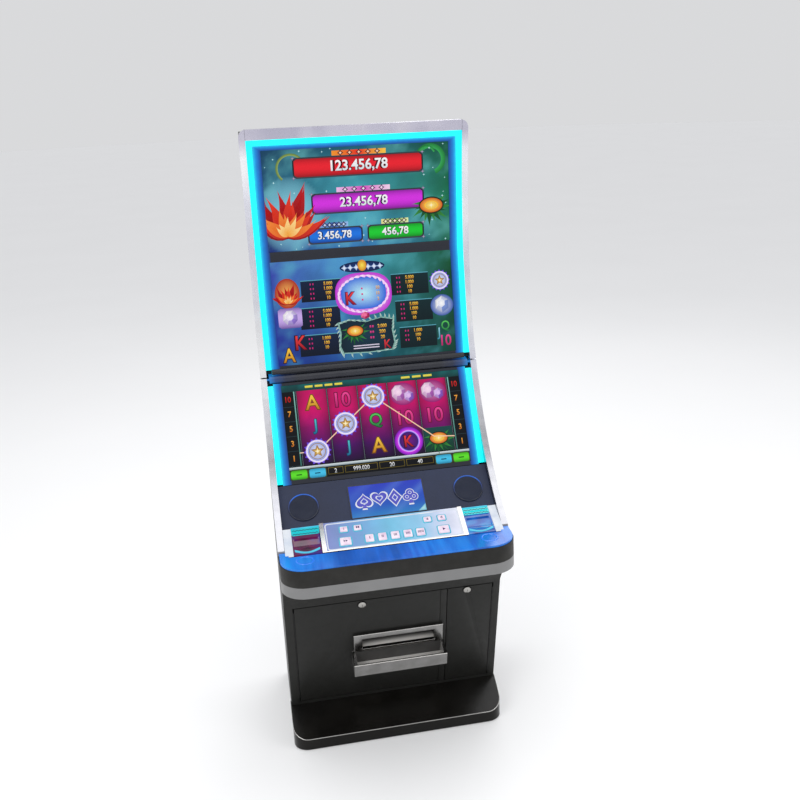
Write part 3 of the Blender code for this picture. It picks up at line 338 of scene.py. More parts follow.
def tray_metal():
    """Bright plate with painted shade inside the pocket and the trough, where it is not metallic,
    and painted light on the pocket's floor near its mouth and on the trough's floor away from the
    door.
    """
    s = Shader("tray_metal")
    out, up = s.along(PEDESTAL_FACE, 2), s.along(PEDESTAL_FACE, 1)
    aside = s.math("ABSOLUTE", s.math("SUBTRACT", s.axis("X"), TRAY_MIDDLE))
    pocket = s.span(out, *POCKET_OUT)
    trough = s.both(s.span(aside, *TROUGH_SIDE), s.span(out, *TROUGH_NEAR_OUT),
                    s.span(out, *TROUGH_FAR_OUT), s.span(up, *TROUGH_UP))
    inside = s.math("MAXIMUM", pocket, trough)
    pocket_floor = s.both(s.span(up, *POCKET_FLOOR_UP), s.span(out, *POCKET_LIT_OUT))
    lit = s.math("MAXIMUM", s.both(pocket, pocket_floor),
                 s.both(trough, s.span(out, *TROUGH_LIT_OUT)))
    # Painted shade inside the pocket and trough, rising to painted light where lit is full.
    painted_inside_shade_and_light = s.ramp(lit, (0.0, (0.03, 0.029, 0.028)), (1.0, (0.62, 0.60, 0.57)))
    bright = s.mottle((0.22, 0.216, 0.21), (0.30, 0.295, 0.29), 26.0, 4.0)
    s.feed(colour=s.blend(inside, bright, painted_inside_shade_and_light), roughness=s.gloss(0.16, 0.26, 60.0, 3.0),
           metallic=s.math("SUBTRACT", 1.0, inside))
    return s.bump(s.noise(1.0, 2.0, (4.0, 700.0, 700.0)), 0.000004).material


RAIL_SHADE_Z = (0.70, 1.83)


def aluminium():
    """Satin extrusion: fine brushing under broad, soft changes of tone, with painted shade on its
    lower rails and along its top bar.
    """
    s = Shader("satin_aluminium", metallic=1.0)
    lines = s.noise(1.0, 3.0, (1300.0, 5.0, 5.0))
    brushed = s.ramp(lines, (0.25, grey(0.93)), (0.75, grey(1.0)))
    broad = s.ramp(s.noise(1.0, 1.5, (9.0, 3.0, 4.2)), (0.36, (0.76, 0.76, 0.84)),
                   (0.50, (0.91, 0.91, 0.97)), (0.64, grey(1.0)))
    # Painted shade: darker low down and along the top bar, brightest between.
    height = s.ramp(s.span(s.axis("Z"), *RAIL_SHADE_Z), (0.0, grey(0.42)), (0.18, grey(0.44)),
                    (0.36, grey(0.98)), (0.93, grey(1.0)), (0.975, (0.64, 0.62, 0.68)))
    s.feed(colour=s.times(s.times(broad, height), brushed), roughness=s.gloss(0.21, 0.32, 35.0))
    return s.bump(lines, 0.000004).material


BEAM_GLOW_X = (0.215, 0.298)


def edge_lit_bar():
    """Dark satin bar whose ends take a blue light from the strips beside it."""
    s = Shader("beam_satin", roughness=0.38, power=0.9, specular=0.3)
    glow = s.ramp(s.span(s.axis("X", absolute=True), *BEAM_GLOW_X), (0.0, rgb(6, 8, 14)),
                  (0.45, rgb(8, 22, 52)), (0.80, rgb(12, 60, 120)), (1.0, rgb(16, 120, 196)))
    s.feed(colour=s.mottle(rgb(36, 37, 42), rgb(48, 49, 54), 14.0, 5.0), glow=glow)
    return s.bump(s.noise(800.0, 2.0), 0.00003).material


def speaker_cloth():
    """Fine dark cloth over the speakers."""
    s = Shader("speaker_cloth", specular=0.2, sheen=0.2)
    place = s.node("Mapping", "Vector", Vector=s.place)
    weave = s.node("TexVoronoi", "Distance", Vector=place, Scale=900.0)
    s.feed(colour=s.ramp(weave, (0.1, rgb(12, 15, 26)), (0.6, rgb(26, 32, 50))),
           roughness=s.gloss(0.6, 0.8, 40.0, 3.0))
    return s.bump(weave, 0.0002).material


def slate_panel():
    """Dark slate sheet with a fine grain, faintly blue under the screen's light."""
    s = Shader("slate_sheet", roughness=0.45, power=0.5, specular=0.2)
    grain = s.noise(520.0, 2.0)
    s.feed(colour=s.ramp(grain, (0.3, rgb(26, 30, 44)), (0.7, rgb(36, 42, 62))),
           glow=s.ramp(s.noise(6.0, 3.0), (0.35, rgb(16, 20, 36)), (0.65, rgb(28, 38, 66))))
    return s.bump(grain, 0.00005).material


def floor_paper():
    """Matt pale paper, very faintly lit, so that it meets the sky without a dark line."""
    s = Shader("studio_paper", roughness=0.85, specular=0.1, power=0.19)
    tint = s.mottle(grey(0.73), grey(0.74), 1.2)
    return s.feed(colour=tint, glow=tint).material


BLACK_PAINT = coated("black_powder_coat", rgb(26, 26, 24), 0.46, 650.0, 0.00012, 0.10, 0.28)
BLACK_BOARD = coated("black_laminate", rgb(22, 22, 21), 0.44, 900.0, 0.00005, 0.10, 0.25)
BLACK_GLOSS = coated("black_lacquer", rgb(16, 15, 13), 0.20, 140.0, 0.00001, specular=0.22)
PIN_STEEL = coated("blackened_pin", rgb(18, 18, 18), 0.4, 500.0, 0.00001, specular=0.3)
BLACK_SOFT = coated("soft_black_pad", rgb(34, 33, 31), 0.60, 1100.0, 0.00008, specular=0.22,
                    sheen=0.05)
GREY_BAND = coated("grey_band", rgb(118, 118, 118), 0.38, 800.0, 0.00002, 0.06, specular=0.4)
DARK_BAR = coated("divider_satin", rgb(42, 43, 47), 0.40, 800.0, 0.00003, 0.12)
UNIT_GREY = coated("unit_housing", rgb(128, 131, 134), 0.5, 700.0, 0.00005, 0.08, specular=0.4)
MOULDED = coated("moulded_black", rgb(28, 28, 30), 0.5, 900.0, 0.0001, 0.2)
MARK_DARK = coated("mark_dark", rgb(60, 44, 90), 0.4, 400.0, 0.00001)
CYAN_DARK = coated("zigzag_dark", rgb(2, 52, 66), 0.3, 500.0, 0.00001)
# The deck rings' glow is painted light, like the deck plate's.
RING_BLUE = coated("deck_ring_blue", rgb(20, 84, 160), 0.12, 300.0, 0.00001, 0.1, 0.7,
                   glow=rgb(20, 96, 196), power=0.8)
CHROME = metal("chrome_plate", (0.52, 0.51, 0.49), 0.14, 30.0, 0.000003)
# A much lighter metal than the tray's: its brightness is a painted highlight along the tray's
# beads.
HIGHLIGHT_METAL = metal("painted_highlight_metal", (0.86, 0.84, 0.80), 0.12, 60.0, 0.000002)
LOCK_STEEL = metal("lock_steel", (0.40, 0.39, 0.37), 0.17, 90.0, 0.000003)
ZINC = metal("zinc_steel", (0.46, 0.47, 0.48), 0.38, 60.0)
WHITE_STRIP = lit_sheet("lit_white_strip", rgb(206, 216, 234), rgb(240, 244, 250), 30.0, power=0.85)
RING_GLOW = lit_sheet("button_ring_glow", rgb(10, 150, 184), rgb(50, 200, 224), 60.0)
CYAN_GLOW = lit_sheet("cyan_crescent", rgb(20, 170, 214), rgb(60, 214, 244), 30.0)
PRINT = printed("screen_picture")
PLATE_PRINT = printed("backlit_print", 0.9, 0.22)


def paint(material, *names):
    for name in names:
        mesh = NODES[name].data
        mesh.materials.clear()
        mesh.materials.append(material)
        for polygon in mesh.polygons:
            polygon.use_smooth = True


def round_edges(item, width):
    """Bevel an object's sharp edges."""
    bevel = item.modifiers.new("bevel", "BEVEL")
    bevel.width = width
    bevel.segments = 2
    bevel.limit_method = "ANGLE"
    return bevel


def soften_edges(width, *names):
    """Weld a CAD node's faces, round its edges a little and keep its flats flat."""
    for name in names:
        item = NODES[name]
        weld = item.modifiers.new("weld", "WELD")
        weld.merge_threshold = 0.00002
        if width:
            round_edges(item, width).angle_limit = math.radians(35)
        split = item.modifiers.new("split", "EDGE_SPLIT")
        split.split_angle = math.radians(28)


# ---------------------------------------------------------------- pieces
def add(name, mesh, material, body, slot, place=None, bevel=0.0, smooth=False):
    """Link a mesh as a new piece that rides on a CAD body."""
    mesh.name = name
    item = bpy.data.objects.new(name, mesh)
    SCENE.collection.objects.link(item)
    if place is not None:
        item.matrix_world = place
    mesh.materials.append(material)
    for polygon in mesh.polygons:
        polygon.use_smooth = smooth
    if bevel:
        round_edges(item, bevel)
    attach(item, body)
    return item


def from_bmesh(bm):
    bmesh.ops.recalc_face_normals(bm, faces=bm.faces)
    mesh = bpy.data.meshes.new("piece")
    bm.to_mesh(mesh)
    bm.free()
    return mesh


def skin(bm, rings):
    """Faces between each ring of points and the next."""
    for ring, after in zip(rings, rings[1:]):
        for step in range(len(ring)):
            nxt = (step + 1) % len(ring)
            bm.faces.new((ring[step], ring[nxt], after[nxt], after[step]))


def prism(bm, near, far, standing=False):
    """A solid between two outlines; one that stands on a surface has no near cap."""
    near, far = [bm.verts.new(p) for p in near], [bm.verts.new(p) for p in far]
    if not standing:
        bm.faces.new(near)
    bm.faces.new(far)
    skin(bm, [near, far])


def bars(boxes, face=Matrix.Identity(4)):
    """One mesh of several boxes, each given by two corners in a face's frame."""
    bm = bmesh.new()
    for low, high in boxes:
        low, high = Vector(low), Vector(high)
        place = Matrix.Translation((low + high) / 2) @ Matrix.Diagonal((*(high - low), 1.0))
        bmesh.ops.create_cube(bm, size=1.0, matrix=face @ place)
    return from_bmesh(bm)


def lathe(profile, sides=48, places=(Matrix.Identity(4),)):
    """Turned rings about each place's Z axis, from (radius, height) points."""
    bm = bmesh.new()
    angles = [math.tau * step / sides for step in range(sides)]
    for place in places:
        rings = [[bm.verts.new(place @ Vector((radius * math.cos(angle), radius * math.sin(angle),
                                               height))) for angle in angles]
                 for radius, height in profile]
        skin(bm, rings + rings[:1])
    return from_bmesh(bm)


def swept(path, section):
    """A section of (sideways, up) points carried along a path of (point, sideways, up)."""
    bm = bmesh.new()
    rings = [[bm.verts.new(p + side * a + up * b) for a, b in section] for p, side, up in path]
    bm.faces.new(rings[0])
    bm.faces.new(rings[-1])
    skin(bm, rings)
    return from_bmesh(bm)


def rounded(half_x, half_y, radius, steps=5):
    """Corner points of a rounded rectangle, anticlockwise."""
    points = []
    for sign_x, sign_y, start in ((1, 1, 0), (-1, 1, 90), (-1, -1, 180), (1, -1, 270)):
        for step in range(steps + 1):
            angle = math.radians(start + 90 * step / steps)
            points.append((sign_x * (half_x - radius) + radius * math.cos(angle),
                           sign_y * (half_y - radius) + radius * math.sin(angle)))
    return points


def frames(*items):
    """Flat rounded frames: each (place, half_x, half_y, radius, width, low, high)."""
    bm = bmesh.new()
    for place, half_x, half_y, radius, width, low, high in items:
        outer = rounded(half_x + width, half_y + width, radius + width)
        inner = rounded(half_x, half_y, radius)
        rings = [[bm.verts.new(place @ Vector((x, y, height))) for x, y in points]
                 for points, height in ((outer, low), (outer, high), (inner, high), (inner, low))]
        skin(bm, rings + rings[:1])
    return from_bmesh(bm)


FRONT_LEAN = -0.25
FLAT_TOP = 0.9


def face_frame(node):
    """Frame on a node's broadest front face: X right, Y up the face, Z out; with half its size."""
    mesh = NODES[node].data
    groups = {}
    for polygon in mesh.polygons:
        if polygon.normal.y < FRONT_LEAN or polygon.normal.z > FLAT_TOP:
            groups.setdefault(tuple(round(c, 2) for c in polygon.normal), []).append(polygon)
    faces = max(groups.values(), key=lambda group: sum(f.area for f in group))
    out = sum((f.normal * f.area for f in faces), Vector()).normalized()
    right = Vector((1.0, 0.0, 0.0))
    up = out.cross(right).normalized()
    points = [mesh.vertices[v].co for f in faces for v in f.vertices]
    low_x, high_x = min(p.x for p in points), max(p.x for p in points)
    low_u, high_u = min(p @ up for p in points), max(p @ up for p in points)
    centre = right * (low_x + high_x) / 2 + up * (low_u + high_u) / 2 + out * (points[0] @ out)
    place = Matrix([[right[i], up[i], out[i], centre[i]] for i in range(3)] + [[0, 0, 0, 1]])
    return place, (high_x - low_x) / 2, (high_u - low_u) / 2


# ---------------------------------------------------------------- pictures
GLYPHS = {}
# Metres between a picture's layers, and half the width of a screen's window.
LAYER = 0.00006
WINDOW_HALF = 0.2678
# How much bolder small amounts and the rims behind figures are drawn.
PAY_WEIGHT = 0.03
RIM_WEIGHT = 0.045


def glyph(text, weight):
    """Faces of some figures or card ranks, one unit high and centred."""
    if (text, weight) not in GLYPHS:
        curve = bpy.data.curves.new("glyph", "FONT")
        curve.body = text
        curve.resolution_u = 3
        curve.offset = weight
        item = bpy.data.objects.new("glyph", curve)
        SCENE.collection.objects.link(item)
        bpy.context.view_layer.update()
        shape = bpy.data.meshes.new_from_object(item.evaluated_get(
            bpy.context.evaluated_depsgraph_get()))
        points = [v.co.copy() for v in shape.vertices]
        low = Vector((min(p.x for p in points), min(p.y for p in points)))
        high = Vector((max(p.x for p in points), max(p.y for p in points)))
        centre = (low + high) / 2
        tall = high.y - low.y - 2 * weight
        faces = [[((points[v].x - centre.x) / tall, (points[v].y - centre.y) / tall)
                  for v in f.vertices] for f in shape.polygons]
        bpy.data.objects.remove(item)
        bpy.data.curves.remove(curve)
        bpy.data.meshes.remove(shape)
        GLYPHS[(text, weight)] = faces
    return GLYPHS[(text, weight)]


def ring_points(x, y, wide, tall, count=28, start=0.0, sweep=math.tau):
    steps = count if sweep >= math.tau else count + 1
    return [(x + wide * math.cos(start + sweep * i / count),
             y + tall * math.sin(start + sweep * i / count)) for i in range(steps)]


def bar_points(x0, y0, x1, y1):
    return [(x0, y0), (x1, y0), (x1, y1), (x0, y1)]


def heart_points(x, y, size, flip=1.0):
    """A heart, or with a flip of -1 the same shape upside down."""
    points = []
    for i in range(28):
        t = math.tau * i / 28
        across = math.sin(t) ** 3
        up = (13 * math.cos(t) - 5 * math.cos(2 * t) - 2 * math.cos(3 * t) - math.cos(4 * t)) / 16
        points.append((x + size * across, y + flip * size * (up + 0.1)))
    return points


def star_points(x, y, size, count, inner):
    points = []
    for i in range(2 * count):
        reach = size if i % 2 == 0 else size * inner
        angle = math.pi / 2 + math.pi * i / count
        points.append((x + reach * math.cos(angle), y + reach * math.sin(angle)))
    return points


class Picture:
    """A flat picture of coloured faces in thin layers, measured in units of half its width."""

    def __init__(self, node, half=None):
        self.place, face_x, face_y = face_frame(node)
        self.half = half or face_x
        self.tall = face_y / self.half
        self.points, self.faces, self.inks = [], [], []

    def face(self, points, inks, layer):
        """One flat face, clipped to the picture, in one ink or one for each corner."""
        start = len(self.points)
        for x, y in points:
            self.points.append((min(1.0, max(-1.0, x)) * self.half,
                                min(self.tall, max(-self.tall, y)) * self.half,
                                LAYER * (layer + 1)))
        self.faces.append(range(start, len(self.points)))
        self.inks.extend(inks if isinstance(inks, list) else [inks] * len(points))

    def patch(self, x0, y0, x1, y1, columns, rows, ink, layer):
        """A fine grid, coloured by a function of its two shares, 0 to 1."""
        for i in range(columns):
            for j in range(rows):
                a0, a1 = i / columns, (i + 1) / columns
                b0, b1 = j / rows, (j + 1) / rows
                corners = ((a0, b0), (a1, b0), (a1, b1), (a0, b1))
                self.face([(x0 + (x1 - x0) * a, y0 + (y1 - y0) * b) for a, b in corners],
                          [ink(a, b) for a, b in corners], layer)

    def box(self, x0, y0, x1, y1, low, high, layer):
        self.face(bar_points(x0, y0, x1, y1), [low, low, high, high], layer)

    def fan(self, points, middle, edge, layer):
        """A shape filled from its middle to its edge."""
        centre = tuple(sum(values) / len(points) for values in zip(*points))
        for first, second in zip(points, points[1:] + points[:1]):
            self.face([centre, first, second], [middle, edge, edge], layer)

    def disc(self, x, y, wide, tall, middle, edge, layer):
        self.fan(ring_points(x, y, wide, tall), middle, edge, layer)

    def star(self, x, y, size, count, inner, middle, edge, layer):
        self.fan(star_points(x, y, size, count, inner), middle, edge, layer)

    def ring(self, x, y, outer, inner, rim, core, layer, start=0.0, sweep=math.tau, squash=1.0):
        big = ring_points(x, y, outer, outer * squash, 36, start, sweep)
        small = ring_points(x, y, inner, inner * squash, 36, start, sweep)
        if sweep >= math.tau:
            big.append(big[0])
            small.append(small[0])
        for a, b, c, d in zip(big, big[1:], small[1:], small):
            self.face([a, b, c, d], [rim, rim, core, core], layer)

    def line(self, points, width, ink, layer):
        for (x0, y0), (x1, y1) in zip(points, points[1:]):
            reach = math.hypot(x1 - x0, y1 - y0)
            nx, ny = (y0 - y1) / reach * width / 2, (x1 - x0) / reach * width / 2
            self.face([(x0 - nx, y0 - ny), (x1 - nx, y1 - ny), (x1 + nx, y1 + ny),
                       (x0 + nx, y0 + ny)], ink, layer)

    def petal(self, x, y, reach, wide, angle, curl, base, tip, layer, steps=9):
        """A curved leaf or flame from its root to its point."""
        left, right = [], []
        for i in range(steps + 1):
            t = i / steps
            turn = angle + curl * t
            px = x + reach * t * math.cos(angle + curl * t * 0.5)
            py = y + reach * t * math.sin(angle + curl * t * 0.5)
            half = wide * math.sin(math.pi * min(1.0, 0.12 + 0.88 * t)) ** 0.8 * (1.05 - t)
            left.append((px - half * math.sin(turn), py + half * math.cos(turn), t))
            right.append((px + half * math.sin(turn), py - half * math.cos(turn), t))
        for a, b, c, d in zip(left, left[1:], right[1:], right):
            self.face([p[:2] for p in (a, b, c, d)],
                      [mix(base, tip, p[2]) for p in (a, b, c, d)], layer)

    def text(self, body, x, y, tall, low, high, layer, rim=None, weight=0.012, narrow=0.86):
        """Figures or a card rank, with an optional rim in another colour behind them."""
        if rim is not None:
            self.text(body, x, y, tall, rim, rim, layer - 1, None, weight + RIM_WEIGHT, narrow)
        for points in glyph(body, weight):
            self.face([(x + px * tall * narrow, y + py * tall) for px, py in points],
                      [mix(low, high, py + 0.5) for _, py in points], layer)

    def pays(self, amounts, x, y, step, size, layer, ticks, wide, half, dark, bright):
        """A column of amounts, each with small ticks beside it that start at the given places."""
        for line, amount in enumerate(amounts):
            level = y - step * line
            self.text(amount, x, level, size, GOLD_DEEP, GOLD, layer, None, PAY_WEIGHT)
            for tick in ticks:
                self.box(tick, level - half, tick + wide, level + half, dark, bright, layer)

    def plate(self, x0, y0, x1, y1, dark, bright, layer, rim=None, round_x=0.03):
        """A rounded bar that is bright along its middle and dark at its edges."""
        if rim is not None:
            self.plate(x0 - 0.012, y0 - 0.012, x1 + 0.012, y1 + 0.012, rim, rim, layer - 1)
        rows, tall = 10, y1 - y0

        def inset(t):
            lack = max(0.0, round_x - min(t, 1 - t) * tall) / round_x
            return round_x * (1 - math.sqrt(max(0.0, 1 - lack * lack)))

        def ink(t):
            return mix(dark, bright, math.sin(math.pi * min(1.0, t * 0.85 + 0.05)) ** 0.9)

        for row in range(rows):
            t0, t1 = row / rows, (row + 1) / rows
            i0, i1 = inset(t0), inset(t1)
            self.face([(x0 + i0, y0 + tall * t0), (x1 - i0, y0 + tall * t0),
                       (x1 - i1, y0 + tall * t1), (x0 + i1, y0 + tall * t1)],
                      [ink(t0), ink(t0), ink(t1), ink(t1)], layer)

    def gem(self, x, y, wide, tall, pale, deep, layer, sides=8):
        """A cut stone: a bright table with shaded facets round it."""
        outer = ring_points(x, y, wide, tall, sides, math.pi / sides)
        inner = ring_points(x - wide * 0.06, y + tall * 0.12, wide * 0.5, tall * 0.5, sides,
                            math.pi / sides)
        for i in range(sides):
            j = (i + 1) % sides
            light = 0.5 + 0.5 * math.cos(math.tau * (i + 0.5) / sides - 2.1)
            ink = mix(deep, pale, light)
            self.face([outer[i], outer[j], inner[j], inner[i]],
                      [shade(ink, 0.7), shade(ink, 0.7), ink, ink], layer)
        self.fan(inner, pale, mix(deep, pale, 0.7), layer)

    def medallion(self, x, y, size, layer):
        """A glowing white disc with a spiked violet halo and a gold star."""
        self.star(x, y, size * 1.22, 16, 0.80, rgb(170, 150, 255), rgb(96, 60, 214), layer)
        self.ring(x, y, size * 1.02, size * 0.86, rgb(214, 196, 255), rgb(255, 250, 255),
                  layer + 1)
        self.disc(x, y, size * 0.86, size * 0.86, rgb(232, 238, 250), rgb(148, 160, 226),
                  layer + 1)
        self.ring(x, y, size * 0.72, size * 0.66, rgb(120, 96, 60), rgb(190, 150, 80), layer + 2)
        self.star(x, y, size * 0.60, 5, 0.45, rgb(250, 214, 120), rgb(140, 84, 30), layer + 2)
        self.star(x, y, size * 0.30, 4, 0.3, rgb(255, 255, 240), rgb(250, 220, 140), layer + 3)

    def blaze(self, x, y, size, layer):
        """A curling bunch of flames, red outside and gold inside."""
        sets = ((11, 1.00, 0.20, rgb(110, 8, 12), rgb(196, 22, 26)),
                (9, 0.80, 0.17, rgb(176, 20, 16), rgb(236, 60, 34)),
                (7, 0.58, 0.13, rgb(226, 84, 24), rgb(248, 150, 60)),
                (5, 0.36, 0.10, rgb(246, 170, 70), rgb(255, 232, 160)))
        for step, (count, reach, wide, base, tip) in enumerate(sets):
            for i in range(count):
                share = (i + 0.5) / count
                angle = math.radians(-12 + 204 * share)
                wave = 1.0 + 0.22 * math.sin(5.0 * i + step)
                curl = 0.9 * (0.5 - share) * 2 + 0.5 * math.sin(3.0 * i)
                self.petal(x, y, size * reach * wave, size * wide, angle, curl, base, tip,
                           layer + step)

    def jewel(self, x, y, wide, layer):
        """An oval amber stone among green leaves."""
        for i in range(13):
            angle = math.radians(-200 + 220 * i / 12)
            green = rgb(20, 96, 44) if i % 2 else rgb(60, 150, 60)
            self.petal(x, y, wide * (1.75 + 0.25 * math.sin(4.0 * i)), wide * 0.36, angle, 0.5,
                       rgb(8, 46, 30), green, layer)
        self.fan(ring_points(x, y, wide * 1.12, wide * 0.76), rgb(30, 60, 20), rgb(12, 40, 22),
                 layer + 1)
        self.disc(x, y, wide, wide * 0.64, rgb(255, 240, 120), rgb(214, 92, 10), layer + 2)
        self.ring(x, y, wide * 0.66, wide * 0.52, rgb(246, 150, 24), rgb(255, 214, 70), layer + 3,
                  squash=0.62)
        self.star(x, y, wide * 0.34, 4, 0.32, rgb(255, 255, 230), rgb(255, 210, 80), layer + 3)

    def build(self, name, body, slot, material):
        mesh = bpy.data.meshes.new(name)
        mesh.from_pydata(self.points, [], [list(f) for f in self.faces])
        ink = mesh.attributes.new("ink", "FLOAT_COLOR", "CORNER")
        ink.data.foreach_set("color", [value for colour in self.inks for value in (*colour, 1.0)])
        add(name, mesh, material, body, slot, self.place)


WHITE = rgb(255, 255, 255)
GOLD, GOLD_DEEP = rgb(252, 206, 70), rgb(190, 120, 16)
TEAL, TEAL_DEEP = rgb(84, 196, 206), rgb(20, 104, 150)
PINK, PINK_DEEP = rgb(240, 70, 150), rgb(176, 20, 100)
RED, RED_DEEP = rgb(240, 60, 60), rgb(150, 10, 30)
GREEN, GREEN_DEEP = rgb(90, 200, 90), rgb(20, 110, 60)


def jackpot_picture():
    """Upper screen: four totals in coloured bars on a misty teal ground."""
    art = Picture("upper_display", WINDOW_HALF)
    tall = art.tall
    left = [(0.0, rgb(24, 44, 118)), (0.45, rgb(26, 84, 124)), (1.0, rgb(20, 66, 96))]
    centre = [(0.0, rgb(58, 128, 190)), (0.5, rgb(70, 172, 186)), (1.0, rgb(24, 96, 116))]
    right = [(0.0, rgb(26, 104, 74)), (0.5, rgb(18, 112, 76)), (1.0, rgb(14, 84, 58))]

    def ground(a, b):
        across = (0.0, through(left, b)), (0.5, through(centre, b)), (1.0, through(right, b))
        ink = through(across, a)
        mist = cloud(a, b * tall, 5.0, 2.0)
        ink = mix(ink, rgb(120, 214, 214), max(0.0, mist) * 0.55)
        away = math.hypot((2 * a - 1 + 0.74) / 0.36, ((2 * b - 1) * tall + 0.16) / 0.42)
        halo = max(0.0, 1.0 - away) ** 0.6
        return mix(shade(ink, 1.0 + 0.35 * min(0.0, mist)), rgb(150, 226, 244), halo * 0.8)

    art.patch(-1, -tall, 1, tall, 72, 42, ground, 0)
    art.ring(0.80, 0.36, 0.17, 0.12, rgb(28, 118, 54), rgb(50, 168, 84), 1, -1.2, 4.2)
    art.ring(0.76, 0.40, 0.11, 0.085, rgb(24, 100, 50), rgb(60, 180, 90), 1, 0.4, 3.4)
    art.ring(-0.70, 0.34, 0.16, 0.135, rgb(90, 120, 60), rgb(150, 170, 90), 1, 0.8, 3.2)
    rows = ((-0.665, 0.245, 0.705, 0.435, rgb(120, 6, 16), rgb(236, 30, 44), "123.456,78", 0.03,
             0.128, (rgb(246, 150, 40), rgb(232, 30, 24), rgb(250, 200, 70))),
            (-0.49, -0.150, 0.705, 0.045, rgb(84, 8, 110), rgb(214, 48, 226), "23.456,78", 0.06,
             0.118, (rgb(240, 190, 236), rgb(214, 60, 190), rgb(246, 214, 240))),
            (-0.55, -0.475, 0.015, -0.330, rgb(10, 44, 130), rgb(24, 116, 226), "3.456,78", -0.275,
             0.096, (rgb(120, 160, 220), rgb(40, 66, 150), rgb(150, 190, 240))),
            (0.10, -0.475, 0.695, -0.330, rgb(8, 96, 20), rgb(20, 204, 48), "456,78", 0.39,
             0.096, (rgb(236, 226, 150), rgb(80, 150, 60), rgb(230, 240, 170))))
    for x0, y0, x1, y1, dark, bright, figures, middle, size, (near, deep, far) in rows:
        art.plate(x0 - 0.016, y0 - 0.016, x1 + 0.016, y1 + 0.016, rgb(66, 74, 84),
                  rgb(16, 12, 20), 3)
        art.plate(x0, y0, x1, y1, dark, bright, 5)
        art.text(figures, middle, (y0 + y1) / 2, size, rgb(214, 222, 230), WHITE, 9,
                 shade(dark, 0.35), 0.022, 0.94)
        half = 0.29 if x1 - x0 > 0.9 else 0.15
        y = y1 + 0.040
        art.patch(middle - half, y - 0.022, middle + half, y + 0.030, 8, 1,
                  lambda a, b: through(((0.0, near), (0.5, deep), (1.0, far)), a), 5)
        for i in range(5):
            x = middle + (i - 2) * half * 0.34
            art.star(x, y + 0.004, 0.034, 4, 0.55, rgb(20, 10, 30), rgb(30, 16, 50), 6)
            art.star(x, y + 0.004, 0.020, 4, 0.5, WHITE, near, 7)
        for corner in (x0 - 0.01, x1 + 0.01):
            for level in (y0 - 0.01, y1 + 0.01):
                art.star(corner, level, 0.026, 4, 0.35, rgb(190, 190, 214), rgb(90, 70, 110), 8)
    art.blaze(-0.78, -0.36, 0.50, 11)
    art.jewel(0.80, -0.14, 0.125, 10)
    for i in range(40):
        x = 0.97 * math.sin(i * 12.9898)
        y = tall * 0.96 * math.sin(i * 78.233 + 1.0)
        size = 0.008 + 0.008 * abs(math.sin(i * 3.7))
        art.star(x, y, size, 4, 0.3, WHITE, rgb(120, 210, 220), 2)
    art.build("upper_picture", "display_door", "screen_upper", PRINT)


